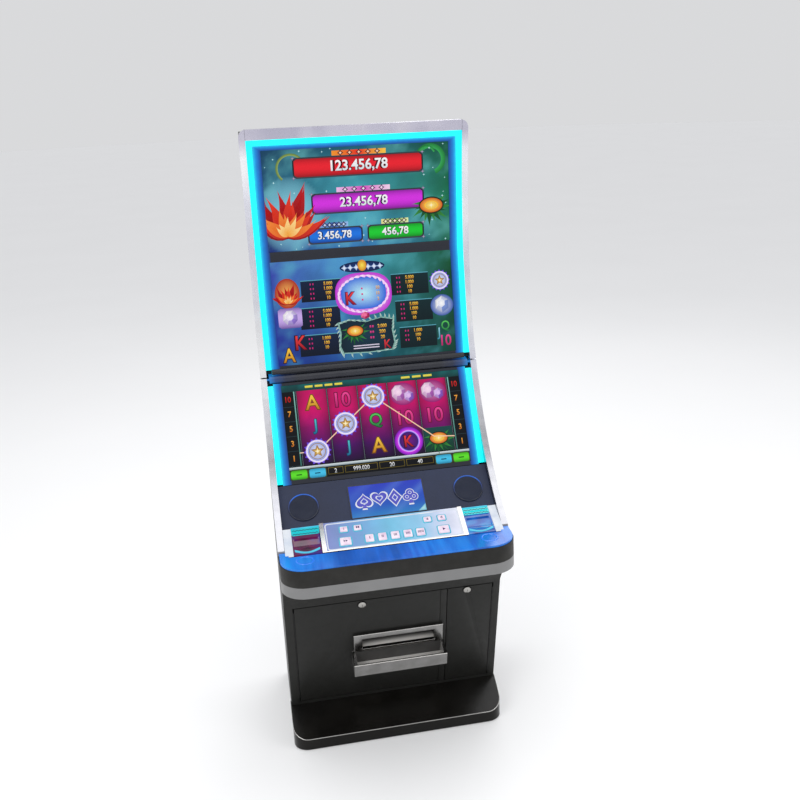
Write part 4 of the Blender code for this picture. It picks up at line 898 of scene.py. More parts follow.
def pay_picture():
    """Middle screen: pay tables round two framed panels."""
    art = Picture("middle_display", WINDOW_HALF)
    tall = art.tall
    low = [(0.0, rgb(26, 44, 140)), (0.35, rgb(30, 76, 150)), (0.6, rgb(16, 84, 96)),
           (1.0, rgb(10, 66, 50))]
    high = [(0.0, rgb(58, 76, 176)), (0.4, rgb(76, 150, 206)), (0.62, rgb(52, 140, 150)),
            (1.0, rgb(14, 84, 44))]

    def ground(a, b):
        ink = mix(through(low, a), through(high, a), b)
        mist = cloud(a + 3, b * tall, 6.0, 5.0)
        ink = mix(ink, rgb(96, 190, 206), max(0.0, mist) * 0.5)
        return shade(ink, 1.0 + 0.4 * min(0.0, mist))

    art.patch(-1, -tall, 1, tall, 56, 32, ground, 0)
    rows = ((0.34, 0.11), (0.04, -0.19), (-0.26, -0.49))
    for side, x0, x1, digits, ticks, dark, bright in (
            (-1, -0.72, -0.28, -0.42, -0.62, rgb(5, 16, 34), rgb(12, 30, 60)),
            (1, 0.34, 0.76, 0.55, 0.40, rgb(4, 26, 30), rgb(8, 40, 44))):
        for index, (high_y, low_y) in enumerate(rows):
            shift = 0.03 * (index - 1) * side
            art.box(x0 + shift, low_y, x1 + shift, high_y, dark, bright, 2)
            art.box(x0 + shift, high_y, x1 + shift, high_y + 0.008, rgb(90, 170, 190),
                    rgb(90, 170, 190), 2)
            amounts = ("5.000", "1.000", "100", "10")[1 if index == 2 else 0:]
            art.pays(amounts, digits + shift, high_y - 0.038, 0.052, 0.036, 4,
                     (ticks + shift, ticks + shift + 0.03), 0.012, 0.010, rgb(190, 20, 110),
                     rgb(220, 40, 130))
    art.disc(-0.84, 0.22, 0.135, 0.165, rgb(250, 180, 90), rgb(170, 40, 30), 4)
    art.blaze(-0.84, 0.12, 0.19, 5)
    art.plate(-0.96, -0.16, -0.70, 0.06, rgb(70, 30, 130), rgb(200, 170, 236), 5)
    art.gem(-0.83, -0.045, 0.085, 0.085, rgb(255, 250, 255), rgb(150, 120, 214), 7)
    art.text("K", -0.735, -0.33, 0.15, RED_DEEP, RED, 7, rgb(50, 6, 30))
    art.text("A", -0.875, -0.46, 0.15, GOLD_DEEP, GOLD, 7, rgb(40, 24, 30))
    art.medallion(0.86, 0.24, 0.100, 5)
    art.disc(0.87, -0.04, 0.13, 0.12, rgb(214, 226, 250), rgb(60, 90, 170), 4)
    art.gem(0.87, -0.03, 0.085, 0.095, WHITE, rgb(110, 140, 214), 6, 6)
    art.text("J", 0.812, -0.36, 0.13, rgb(50, 140, 166), rgb(150, 212, 230), 7)
    art.text("Q", 0.895, -0.28, 0.12, GREEN_DEEP, GREEN, 7)
    art.text("10", 0.895, -0.44, 0.12, PINK_DEEP, PINK, 7)
    shield = []
    for across, up in ring_points(0.0, 0.0, 1.0, 1.0, 40):
        shield.append((-0.005 + math.copysign(0.315 * abs(across) ** 0.72, across),
                       0.155 + math.copysign(0.235 * abs(up) ** 0.8, up)))
    inside = [(-0.005 + (x + 0.005) * 0.80, 0.165 + (y - 0.155) * 0.76) for x, y in shield]
    art.fan(shield, rgb(255, 236, 255), rgb(196, 40, 214), 5)
    art.fan(inside, rgb(190, 240, 250), rgb(46, 100, 220), 6)
    for i in range(26):
        t = math.tau * i / 26
        art.petal(-0.005 + 0.27 * math.cos(t), 0.155 + 0.19 * math.sin(t), 0.075, 0.020, t + 1.2,
                  0.8, rgb(250, 190, 250), WHITE, 7, 5)
    art.disc(0.0, 0.455, 0.25, 0.062, rgb(20, 60, 130), rgb(10, 26, 70), 8)
    for i in (-3, -2, -1, 1, 2, 3):
        art.star(0.066 * i, 0.452, 0.036, 4, 0.5, WHITE, rgb(150, 180, 230), 9)
    art.disc(0.0, 0.47, 0.050, 0.062, rgb(255, 230, 90), rgb(214, 130, 10), 10)
    art.text("K", -0.15, 0.115, 0.13, RED_DEEP, RED, 10, rgb(90, 20, 80))
    art.pays(("50", "10", "2"), 0.155, 0.215, 0.062, 0.036, 10, (-0.03,), 0.018, 0.010,
             PINK_DEEP, PINK)
    art.gem(-0.005, -0.085, 0.055, 0.042, rgb(255, 120, 170), rgb(170, 10, 80), 12, 6)
    panel = [(-0.30 + 0.60 * a, -0.485 + 0.36 * b) for a, b in
             ((0.05, 0.0), (0.5, -0.03), (0.95, 0.0), (1.0, 0.2), (0.97, 0.6), (1.0, 0.92),
              (0.78, 1.0), (0.5, 0.90), (0.22, 1.0), (0.0, 0.92), (0.03, 0.6), (0.0, 0.2))]
    art.fan([(x * 1.06, -0.305 + (y + 0.305) * 1.06) for x, y in panel], rgb(40, 70, 70),
            rgb(140, 186, 176), 8)
    art.fan(panel, rgb(20, 54, 74), rgb(10, 34, 48), 9)
    for first, second in zip(panel, panel[1:] + panel[:1]):
        for share in (0.0, 0.33, 0.66):
            x, y = mix(first, second, share)
            art.petal(x, y, 0.060, 0.016, math.atan2(y + 0.305, x) + 0.6, 0.7, rgb(96, 150, 140),
                      rgb(214, 236, 226), 10, 4)
    art.jewel(-0.13, -0.25, 0.088, 12)
    art.pays(("2.000", "200", "20"), 0.175, -0.215, 0.062, 0.038, 12, (0.035, 0.062), 0.017,
             0.012, PINK_DEEP, PINK)
    art.text("K", 0.225, -0.425, 0.095, RED_DEEP, RED, 12)
    for y in (-0.420, -0.448):
        art.line([(-0.16, y), (0.13, y)], 0.012, rgb(214, 206, 226), 12)
    art.build("middle_picture", "display_door", "screen_middle", PRINT)


def reel_picture():
    """Lower screen: five reels of card ranks, stones and medallions, with its button bar."""
    art = Picture("lower_display", WINDOW_HALF)
    tall = art.tall

    def ground(a, b):
        share = max(0.0, b * 9 - 8) * (0.6 + 0.5 * cloud(a, b, 9.0, 1.0))
        return mix(rgb(4, 8, 14), rgb(30, 120, 120), share)

    art.patch(-1, -tall, 1, tall, 24, 14, ground, 0)
    top, foot = 0.455, -0.375
    edges = [-0.845 + 0.338 * i for i in range(6)]
    reel = [(0.0, rgb(34, 4, 52)), (0.22, rgb(74, 4, 96)), (0.48, rgb(140, 6, 104)),
            (0.72, rgb(206, 4, 104)), (1.0, rgb(196, 10, 96))]
    for index in range(5):
        def ink(a, b, index=index):
            edge = 1.0 - 0.45 * abs(2 * a - 1) ** 3
            return shade(through(reel, b), edge * (1.0 + 0.22 * cloud(a + index, b * 2, 3.0, 8.0)))
        art.patch(edges[index] + 0.008, foot, edges[index + 1] - 0.008, top, 8, 14, ink, 2)
    for edge in edges:
        art.box(edge - 0.008, foot, edge + 0.008, top, rgb(16, 8, 20), rgb(20, 10, 24), 3)
        art.box(edge - 0.002, foot, edge + 0.002, top, rgb(110, 120, 130), rgb(120, 130, 140), 4)
    for side in (-1, 1):
        art.box(side * 0.862, foot, side * 0.874, top, rgb(60, 120, 110), rgb(130, 190, 180), 4)
        art.box(side * 0.874, foot - 0.01, side * 0.998, top, rgb(4, 8, 12), rgb(4, 8, 12), 3)
        for row, figure in enumerate(("10", "7", "5", "3", "1")):
            y = top - 0.085 - 0.165 * row
            inks = (rgb(190, 100, 20), rgb(246, 170, 60)) if row else (rgb(170, 16, 16),
                                                                       rgb(214, 40, 30))
            art.text(figure, side * 0.936, y, 0.062, *inks, 6, None, 0.02)
            art.box(side * 0.876, y - 0.088, side * 0.996, y - 0.083, rgb(40, 60, 66),
                    rgb(40, 60, 66), 4)
    for line, (x0, x1) in enumerate(((-0.74, -0.30), (0.34, 0.72))):
        for word in range(4 - line):
            step = (x1 - x0) / (4 - line)
            art.box(x0 + step * word, 0.484, x0 + step * (word + 0.78), 0.508, rgb(214, 200, 60),
                    rgb(236, 226, 90), 5)
    rows = (top - 0.14, top - 0.415, top - 0.69)
    middles = [(a + b) / 2 for a, b in zip(edges, edges[1:])]
    inks = {"A": (GOLD_DEEP, GOLD), "J": (TEAL_DEEP, TEAL), "Q": (GREEN_DEEP, GREEN),
            "10": (PINK_DEEP, PINK)}
    for column, row, figure in ((0, 0, "A"), (0, 1, "J"), (1, 0, "10"), (1, 2, "J"), (2, 1, "Q"),
                                (2, 2, "A"), (3, 1, "10"), (4, 1, "10")):
        deep, pale = inks[figure]
        art.text(figure, middles[column], rows[row], 0.16, deep, pale, 7, shade(deep, 0.3), 0.008,
                 0.95)
    for column in (3, 4):
        x = middles[column]
        art.disc(x, rows[0] - 0.005, 0.150, 0.130, rgb(214, 130, 190), rgb(150, 20, 110), 5)
        art.gem(x - 0.045, rows[0] + 0.01, 0.085, 0.095, rgb(255, 226, 246), rgb(170, 90, 180), 7)
        art.gem(x + 0.065, rows[0] - 0.035, 0.060, 0.065, rgb(236, 200, 250), rgb(130, 70, 190),
                8, 6)
    x, y = middles[3], rows[2] + 0.005
    art.ring(x, y, 0.160, 0.120, rgb(110, 10, 170), rgb(214, 60, 246), 5)
    art.ring(x, y, 0.122, 0.104, rgb(250, 190, 255), rgb(60, 90, 236), 6)
    art.disc(x, y, 0.105, 0.105, rgb(110, 20, 130), rgb(60, 16, 110), 6)
    art.text("K", x, y, 0.125, RED_DEEP, RED, 8, rgb(50, 4, 40))
    x, y = middles[4], rows[2]
    art.box(edges[4] + 0.008, foot, edges[5] - 0.008, foot + 0.27, rgb(8, 60, 40),
            rgb(20, 70, 70), 4)
    art.jewel(x, y + 0.005, 0.098, 6)
    path = [(middles[0], rows[2]), (middles[1], rows[1]), (middles[2], rows[0]),
            (middles[4] - 0.05, rows[2] + 0.03), (0.858, rows[2] + 0.01)]
    art.line([(-0.87, rows[2])] + path[:1], 0.010, rgb(250, 220, 190), 11)
    art.line(path, 0.012, rgb(250, 206, 170), 11)
    for column in range(3):
        art.medallion(middles[column], rows[2 - column], 0.125, 12)
    art.box(-1, foot - 0.040, 1, foot - 0.012, rgb(120, 140, 146), rgb(226, 236, 240), 5)
    art.box(-1, -tall, 1, foot - 0.040, rgb(3, 4, 6), rgb(8, 12, 18), 5)
    low, high = -tall + 0.012, foot - 0.048
    level = (low + high) / 2
    lime, sky = (rgb(20, 110, 10), rgb(96, 226, 40)), (rgb(10, 90, 130), rgb(70, 196, 236))
    for x, (dark, bright) in ((-0.90, lime), (-0.70, sky), (0.70, sky), (0.90, lime)):
        art.plate(x - 0.088, low, x + 0.088, high, dark, bright, 8, rgb(60, 70, 30), 0.02)
        art.line([(x - 0.03, level), (x + 0.03, level)], 0.012, shade(dark, 0.5), 10)
    for x0, x1, figures in ((-0.585, -0.42, "2"), (-0.40, -0.04, "999.020"), (-0.02, 0.26, "20"),
                            (0.28, 0.585, "40")):
        art.box(x0, low + 0.02, x1, high - 0.006, rgb(96, 84, 24), rgb(120, 104, 30), 7)
        art.box(x0 + 0.006, low + 0.026, x1 - 0.006, high - 0.012, rgb(2, 3, 5), rgb(6, 8, 12), 8)
        art.text(figures, (x0 + x1) / 2, level + 0.006, 0.046, rgb(180, 186, 190), WHITE, 10, None,
                 0.01)
    art.build("lower_picture", "player_lid", "screen_lower", PRINT)


def suit(index, x, size, scale):
    """Outlines of one card suit, at a share of its full size: spade, heart, diamond or club."""
    reach = size * scale
    stalk = [(x - reach * 0.3, -reach * 1.1), (x + reach * 0.3, -reach * 1.1)]
    if index == 0:
        return [heart_points(x, 0.0, reach, -1.0), [*stalk, (x, -reach * 0.1)]]
    if index == 1:
        return [heart_points(x, 0.02, reach)]
    if index == 2:
        return [[(x, reach * 1.15), (x + reach * 0.85, 0), (x, -reach * 1.15),
                 (x - reach * 0.85, 0)]]
    leaves = ((0.0, 0.48), (-0.46, -0.12), (0.46, -0.12))
    return [ring_points(x + size * right, size * up, reach * 0.50, reach * 0.50)
            for right, up in leaves] + [[*stalk, (x, reach * 0.2)]]


def emblem_picture():
    """Blue backlit plate with light rays and four outlined card suits."""
    art = Picture("emblem_plate")
    tall = art.tall
    ground = [(0.0, rgb(36, 130, 206)), (0.35, rgb(22, 84, 196)), (1.0, rgb(34, 58, 200))]

    def ink(a, b):
        ray = 0.5 + 0.5 * math.sin((a * 1.6 - b * 0.9) * 9.0) * (0.4 + 0.6 * a)
        return mix(through(ground, b), rgb(120, 170, 246), 0.30 * ray ** 3)

    art.patch(-1, -tall, 1, tall, 40, 18, ink, 0)
    art.fan([(0.78, -tall), (1, -tall), (1, -tall + 0.2)], rgb(190, 240, 240),
            rgb(120, 200, 230), 1)
    outlines = ((1.20, WHITE, rgb(236, 240, 255), 3),
                (1.00, rgb(112, 110, 222), rgb(74, 76, 196), 5),
                (0.50, WHITE, rgb(226, 232, 255), 7),
                (0.34, rgb(70, 80, 200), rgb(80, 92, 210), 9))
    for index in range(4):
        for scale, inner, edge, layer in outlines:
            for number, shape in enumerate(suit(index, -0.63 + 0.42 * index, 0.205, scale)):
                art.fan(shape, inner, edge, layer + 0.2 * number)
    art.build("emblem_picture", "player_lid", "emblem_blue", PLATE_PRINT)


jackpot_picture()
pay_picture()
reel_picture()
emblem_picture()


# ---------------------------------------------------------------- finishes of the CAD parts
SMALL_CAP, BET_CAP, LARGE_CAP = (0.0200, 0.0170), (0.0225, 0.0250), (0.0300, 0.0260)
# Where each cap is on the deck's face, across and down, and its width and height.
BUTTONS = {
    "button_info": (-0.138, 0.032, *SMALL_CAP),
    "button_language": (-0.099, 0.032, *SMALL_CAP),
    "button_service": (0.100, 0.032, *SMALL_CAP),
    "button_cashout": (0.141, 0.032, *SMALL_CAP),
    "button_autoplay": (-0.138, 0.076, *LARGE_CAP),
    "button_bet_1": (-0.071, 0.075, *BET_CAP),
    "button_bet_2": (-0.035, 0.075, *BET_CAP),
    "button_bet_3": (0.001, 0.075, *BET_CAP),
    "button_bet_4": (0.037, 0.075, *BET_CAP),
    "button_bet_5": (0.073, 0.075, *BET_CAP),
    "button_start": (0.139, 0.076, *LARGE_CAP),
}
STRUCTURE = ("base_plate", "rear_shell", "pedestal_frame", "display_door_frame", "lid_frame")
DOORS = ("service_door", "cash_door")
SIDES = ("side_panel_left", "side_panel_right")
PINS = ("service_door_pin", "cash_door_pin", "display_door_pin")
UNITS = ("logic_box", "power_supply", "cash_box")
NOTE_UNITS = ("note_acceptor", "ticket_printer")
REAR_FITTINGS = ("fan_housing", "fan_rotor", "power_inlet")
RAILS = ("display_door_trim", "lid_rail_left", "lid_rail_right")
BEZELS = ("display_door_bezel", "lid_bezel")
LIGHT_GUIDES = ("upper_led_strip", "lower_led_strip_left", "lower_led_strip_right")
SCREENS = ("upper_display", "middle_display", "lower_display")
SPEAKERS = ("speaker_left", "speaker_right")
LOCK_BODIES = ("service_lock", "cash_lock")

paint(BLACK_PAINT, *STRUCTURE, *DOORS)
paint(BLACK_BOARD, *SIDES)
paint(BLACK_GLOSS, "footrest")
paint(edge_lit_bar(), "hinge_beam")
paint(DARK_BAR, "divider_bar")
paint(PIN_STEEL, *PINS)
paint(UNIT_GREY, *UNITS)
paint(MOULDED, *NOTE_UNITS, *REAR_FITTINGS, "power_switch")
paint(aluminium(), *RAILS)
paint(bezel_glow(), *BEZELS)
paint(lit_strip(), *LIGHT_GUIDES)
paint(coated("screen_glass", rgb(8, 9, 12), 0.08, 300.0, 0.000002, 0.1, 0.5), *SCREENS)
paint(slate_panel(), "speaker_panel")
paint(speaker_cloth(), *SPEAKERS)
paint(coated("emblem_edge", rgb(20, 40, 110), 0.25, 300.0, 0.00001, 0.15), "emblem_plate")
paint(frosted_panel(), "button_panel")
paint(tray_metal(), "coin_tray")
paint(CHROME, "panel_trim")
paint(LOCK_STEEL, *LOCK_BODIES)
paint(deck_blue(), "deck_top")
paint(BLACK_SOFT, "bumper_pad")
paint(GREY_BAND, "bumper_band")
paint(glowing_dish("ticket_glow", rgb(10, 206, 214), (0.30, rgb(52, 4, 22)),
                   (0.50, rgb(104, 6, 62)), (0.64, rgb(60, 26, 120)), (0.76, rgb(20, 60, 150))),
      "ticket_bezel")
paint(glowing_dish("note_glow", rgb(20, 220, 226), (0.30, rgb(8, 40, 110)),
                   (0.48, rgb(14, 90, 190)), (0.62, rgb(24, 140, 214)), (0.76, rgb(60, 30, 130))),
      "note_bezel")
paint(button_cap(), *BUTTONS)

soften_edges(0.0, *STRUCTURE, *RAILS, *BEZELS, *LIGHT_GUIDES, *REAR_FITTINGS, *LOCK_BODIES,
             *SPEAKERS, *SIDES, *PINS, *BUTTONS, "hinge_beam", "speaker_panel", "deck_top",
             "bumper_band", "bumper_pad", "footrest", "ticket_bezel", "note_bezel", "panel_trim",
             "coin_tray", "button_panel")
soften_edges(0.0008, *DOORS, *UNITS, *NOTE_UNITS, *SCREENS, "divider_bar", "emblem_plate",
             "power_switch")

# ---------------------------------------------------------------- player deck
RING_GAP = 0.0006
surrounds = [(placed(DECK_FACE, x, down), wide / 2 + RING_GAP, tall / 2 + RING_GAP, 0.0022, 0.0034,
              0.0, 0.0009) for x, down, wide, tall in BUTTONS.values()]
add("button_surrounds", frames(*surrounds), RING_GLOW, "player_lid", "panel_lilac")
add("panel_edge_light", frames((placed(DECK_FACE, 0.0, 0.0532), 0.1868, 0.0452, 0.006, 0.0032, 0.0,
                                0.0010)), WHITE_STRIP, "player_lid", "button_white")


def tally(count):
    """Bars side by side, one for each step of the bet."""
    middles = [0.675 * (i - (count - 1) / 2) for i in range(count)]
    return [bar_points(x - 0.175, -0.8, x + 0.175, 0.8) for x in middles]


# Outlines of the marks on the caps, in units of MARK_SHARE of a cap's height.
MARK_SHARE = 0.20
MARK_RISE = 0.0003
CAP_TOP = 0.0040
MARKS = {
    "button_info": [ring_points(0, 0.9, 0.28, 0.28, 12), bar_points(-0.22, -1.1, 0.22, 0.35)],
    "button_language": [bar_points(-1.3, -1, -0.2, 1), bar_points(0.2, -1, 1.3, 1)],
    "button_service": [ring_points(0, 0.5, 0.5, 0.5, 14), bar_points(-0.8, -1.1, 0.8, -0.2)],
    "button_cashout": [[(-1, 0.1), (1, 0.1), (0, 1.2)], bar_points(-1, -0.9, 1, -0.35)],
    "button_autoplay": [[(-1.1, -0.7), (-0.1, 0), (-1.1, 0.7)], [(0, -0.7), (1, 0), (0, 0.7)]],
    "button_start": [[(-0.6, -0.9), (0.9, 0), (-0.6, 0.9)]],
    **{f"button_bet_{count}": tally(count) for count in range(1, 6)},
}


def raised(outlines, place, low, high, scale=1.0):
    """Thin flat shapes that stand on a surface, from one height to another."""
    bm = bmesh.new()
    for points in outlines:
        near, far = ([place @ Vector((x * scale, y * scale, rise)) for x, y in points]
                     for rise in (low, high))
        prism(bm, near, far, standing=True)
    return from_bmesh(bm)


for name, (x, down, wide, tall) in BUTTONS.items():
    mark = raised(MARKS[name], placed(DECK_FACE, x, down, CAP_TOP), 0.0, MARK_RISE,
                  tall * MARK_SHARE)
    add("mark_" + name, mark, MARK_DARK, name, "button_white")


def mirrored(near, far, low, high):
    """Two boxes, one on each side, from near to far across and between two (y, z) corners."""
    return [((x0, *low), (x1, *high)) for x0, x1 in ((-far, -near), (near, far))]


# Bright strips beside the dishes, and lit ledges behind them.
add("deck_edge_strips", bars(mirrored(0.2836, 0.3062, (-0.1045, -0.0010), (0.0015, 0.0016)),
                             DISH_FACE), WHITE_STRIP, "player_lid", "panel_lilac", bevel=0.0005)
add("dish_back_ledges", bars(mirrored(0.2046, 0.2830, (0.0004, -0.0040), (0.0034, 0.0022)),
                             DISH_FACE), CYAN_GLOW, "player_lid", "note_cyan", bevel=0.0005)

# The two dishes: side, name and slot.
DISHES = ((-1, "ticket", "ticket_purple"), (1, "note", "note_cyan"))
ZIGZAG_STEPS = 16
ZIGZAG_SWING = 0.0016
ZIGZAG_HALF = 0.0012
ZIGZAG_RISE = (0.0029, 0.0034)


def zigzag(x0, x1, down):
    """Thin raised zigzag line across a dish's light bar."""
    points = [(x0 + (x1 - x0) * i / ZIGZAG_STEPS, (ZIGZAG_SWING if i % 2 else -ZIGZAG_SWING) - down)
              for i in range(ZIGZAG_STEPS + 1)]
    pieces = [[(ax, ay - ZIGZAG_HALF), (bx, by - ZIGZAG_HALF), (bx, by + ZIGZAG_HALF),
               (ax, ay + ZIGZAG_HALF)] for (ax, ay), (bx, by) in zip(points, points[1:])]
    return raised(pieces, DISH_FACE, *ZIGZAG_RISE)


for side, dish, slot in DISHES:
    for row, down in enumerate((0.010, 0.024)):
        line = zigzag(*sorted((side * 0.2085, side * 0.2800)), down)
        add(f"{dish}_zigzag_{row + 1}", line, CYAN_DARK, "player_lid", slot)


CRESCENT_STEPS = 18
# The two edges of the band: how far down they are, how much less at the corners, and their height.
CRESCENT_EDGES = ((0.0990, 0.010, 0.0006), (0.0925, 0.012, 0.0005))


def crescent(x0, x1):
    """Bright curved band just inside the front of a dish, from corner to corner."""
    bm = bmesh.new()
    rows = []
    for i in range(CRESCENT_STEPS + 1):
        x = x0 + (x1 - x0) * i / CRESCENT_STEPS
        lack = 1 - math.sin(math.pi * i / CRESCENT_STEPS)
        rows.append([bm.verts.new(DISH_FACE @ Vector((x, less * lack - down, rise)))
                     for down, less, rise in CRESCENT_EDGES])
    for (a, b), (c, d) in zip(rows, rows[1:]):
        bm.faces.new((a, c, d, b))
    return from_bmesh(bm)


for side, dish, slot in DISHES:
    band = add(f"{dish}_crescent", crescent(*sorted((side * 0.2100, side * 0.2790))), CYAN_GLOW,
               "player_lid", slot)
    thick = band.modifiers.new("thick", "SOLIDIFY")
    thick.thickness = 0.0005
    thick.offset = 1.0

# ---------------------------------------------------------------- speakers, emblem and deck rings
SPEAKER_X, SPEAKER_DOWN = 0.240, 0.0770
speaker_ring = [(0.0400, 0.0026), (0.0408, 0.0036), (0.0424, 0.0038), (0.0432, 0.0030),
                (0.0432, 0.0022), (0.0400, 0.0022)]
speaker_places = [placed(PANEL_FACE, x, SPEAKER_DOWN) for x in (-SPEAKER_X, SPEAKER_X)]
add("speaker_rims", lathe(speaker_ring, 56, speaker_places), speaker_rim(), "player_lid",
    "speaker_black", smooth=True)
add("emblem_frame", frames((placed(PANEL_FACE, 0.0, 0.0800), 0.1078, 0.0518, 0.002, 0.0022, 0.0010,
                            0.0034)), DARK_BAR, "player_lid", "slate_panel")

# Low raised rings on the deck plate, in front of the dishes.
DECK_RING_X, DECK_RING_Y, DECK_RING_Z = 0.255, -0.2790, 0.7222
deck_ring = [(0.0190, 0.0001), (0.0205, 0.0010), (0.0235, 0.0010), (0.0255, 0.0001),
             (0.0255, -0.0006), (0.0190, -0.0006)]
deck_places = [Matrix.Translation((x, DECK_RING_Y, DECK_RING_Z))
               for x in (-DECK_RING_X, DECK_RING_X)]
add("deck_rings", lathe(deck_ring, 48, deck_places), RING_BLUE, "player_lid", "deck_azure",
    smooth=True)

# ---------------------------------------------------------------- footrest, coin tray and locks
FOOT_HALF, FOOT_BACK, FOOT_FRONT, FOOT_RADIUS = 0.3250, -0.030, -0.1080, 0.0450
FOOT_HEIGHT, FOOT_SLOPE = 0.0388, 0.5689
FOOT_STEPS = 8


def footrest_edge():
    """Corner-to-corner line of the footrest's front top edge, as (point, sideways, up)."""
    plan = [(-FOOT_HALF, FOOT_BACK, -1, 0), (-FOOT_HALF, FOOT_FRONT + FOOT_RADIUS, -1, 0)]
    for step in range(1, FOOT_STEPS + 1):
        angle = math.radians(180 + 90 * step / FOOT_STEPS)
        plan.append((-FOOT_HALF + FOOT_RADIUS + FOOT_RADIUS * math.cos(angle),
                     FOOT_FRONT + FOOT_RADIUS + FOOT_RADIUS * math.sin(angle), math.cos(angle),
                     math.sin(angle)))
    plan += [(-x, y, -nx, ny) for x, y, nx, ny in reversed(plan)]
    return [(Vector((x, y, FOOT_HEIGHT + FOOT_SLOPE * (y - FOOT_FRONT))), Vector((nx, ny, 0.0)),
             Vector((0.0, 0.0, 1.0))) for x, y, nx, ny in plan]


foot_bead = [(-0.0012, -0.0004), (-0.0008, 0.0006), (0.0002, 0.0004), (0.0006, -0.0004),
             (0.0006, -0.0018), (-0.0004, -0.0020)]
add("footrest_line", swept(footrest_edge(), foot_bead), CHROME, "cabinet", "chrome", smooth=True)

# The tray's shadow gaps, its dark ends and its beads, whose bright metal is a painted highlight, in
# the pedestal face's frame.
tray_gaps = [((low, -0.2200, 0.0080), (high, -0.2172, 0.0089))
             for low, high in ((-0.1242, -0.1000), (0.1250, 0.1492))]
tray_ends = [((x, -0.2672, 0.0075), (x + 0.0006, -0.2215, 0.0590)) for x in (-0.1303, 0.1527)]
tray_highlight_beads = [((-0.1304, -0.2232, 0.0588), (0.1534, -0.2202, 0.0610)),
              ((-0.1243, -0.1512, 0.0074), (0.1493, -0.1492, 0.0094)),
              ((-0.0990, -0.2082, 0.0106), (0.1240, -0.2060, 0.0122))]
for name, boxes, material, slot, bevel in (
        ("tray_gaps", tray_gaps, BLACK_SOFT, "black_metal", 0.0003),
        ("tray_ends", tray_ends, BLACK_SOFT, "black_metal", 0.0002),
        ("tray_lip_bead", tray_highlight_beads, HIGHLIGHT_METAL, "chrome", 0.0004)):
    add(name, bars(boxes, PEDESTAL_FACE), material, "service_door", slot, bevel=bevel)

# Each lock's place on the pedestal's face, across and down.
LOCKS = {"service": (-0.095, 0.0310), "cash": (0.221, 0.0270)}
lock_rim = [(0.0112, 0.0002), (0.0116, 0.0012), (0.0130, 0.0012), (0.0136, 0.0002)]
keyway = ((-0.0007, -0.0042, 0.0040), (0.0007, 0.0042, 0.0050))
for door, spot in LOCKS.items():
    place = placed(PEDESTAL_FACE, *spot)
    add(door + "_lock_rim", lathe(lock_rim, 32, [place]), BLACK_GLOSS, door + "_door",
        "black_plastic", smooth=True)
    add(door + "_lock_keyway", bars([keyway], place), MOULDED, door + "_lock", "black_plastic",
        bevel=0.0002)

TRIM_TOP_Z = 1.798
SEAM_X, SEAM_HALF = 0.3070, 0.0003


def trim_seams():
    """Fine dark joints where the upper door's side rails meet its top rail."""
    front = {}
    for vertex in NODES["display_door_trim"].data.vertices:
        if vertex.co.z > TRIM_TOP_Z:
            key = round(vertex.co.z, 4)
            front[key] = min(front.get(key, 1.0), vertex.co.y)
    (low_z, low_y), (high_z, high_y) = min(front.items()), max(front.items())
    path = [(low_y - 0.0002, low_z), (high_y - 0.0002, high_z + 0.0002),
            (high_y + 0.0300, high_z + 0.0002), (high_y + 0.0300, high_z - 0.0004),
            (high_y + 0.0006, high_z - 0.0004), (low_y + 0.0006, low_z)]
    bm = bmesh.new()
    for x in (-SEAM_X, SEAM_X):
        prism(bm, *([(x + edge, y, z) for y, z in path] for edge in (-SEAM_HALF, SEAM_HALF)))
    return from_bmesh(bm)


add("trim_seams", trim_seams(), DARK_BAR, "display_door", "satin_aluminium")

# ---------------------------------------------------------------- back and inside
REAR = 0.3335
REAR_VIEW = Matrix(((-1, 0, 0, 0), (0, 0, 1, 0), (0, 1, 0, 0), (0, 0, 0, 1)))
LOUVRE_FEET, LOUVRE_PITCH, LOUVRE_COUNT = (0.30, 1.30), 0.022, 7
LOUVRE_X = (-0.123, 0.063)
FAN_X, FAN_Z = 0.170, 1.600
INLET_X = -0.200
WIRE = 0.0009


def louvre_hoods():
    """A thin sheet bent out and down over each louvre slot."""
    bm = bmesh.new()
    for z in [foot + LOUVRE_PITCH * row for foot in LOUVRE_FEET for row in range(LOUVRE_COUNT)]:
        profile = [(REAR - 0.0002, z + 0.0098), (REAR + 0.0012, z + 0.0098),
                   (REAR + 0.0046, z + 0.0030), (REAR + 0.0040, z + 0.0026),
                   (REAR + 0.0006, z + 0.0084), (REAR - 0.0002, z + 0.0084)]
        prism(bm, *([(x, y, height) for y, height in profile] for x in LOUVRE_X))
    return from_bmesh(bm)


def fan_guard():
    """Wire rings on two crossed spokes."""
    middle = Matrix.Translation((FAN_X, REAR + 0.0016, FAN_Z)) @ REAR_VIEW
    bm = bmesh.new()
    for radius in (0.014, 0.027, 0.040, 0.053):
        bm.from_mesh(lathe(ring_points(radius, 0.0, WIRE, WIRE, 8), 40, [middle]))
    for angle in (45, 135):
        bm.from_mesh(bars([((-0.062, -0.0011, -0.0016), (0.062, 0.0011, -0.0002))],
                          middle @ Matrix.Rotation(math.radians(angle), 4, "Z")))
    return from_bmesh(bm)


add("rear_louvre_hoods", louvre_hoods(), BLACK_PAINT, "cabinet", "black_metal")
add("fan_guard", fan_guard(), ZINC, "cabinet", "zinc_steel")

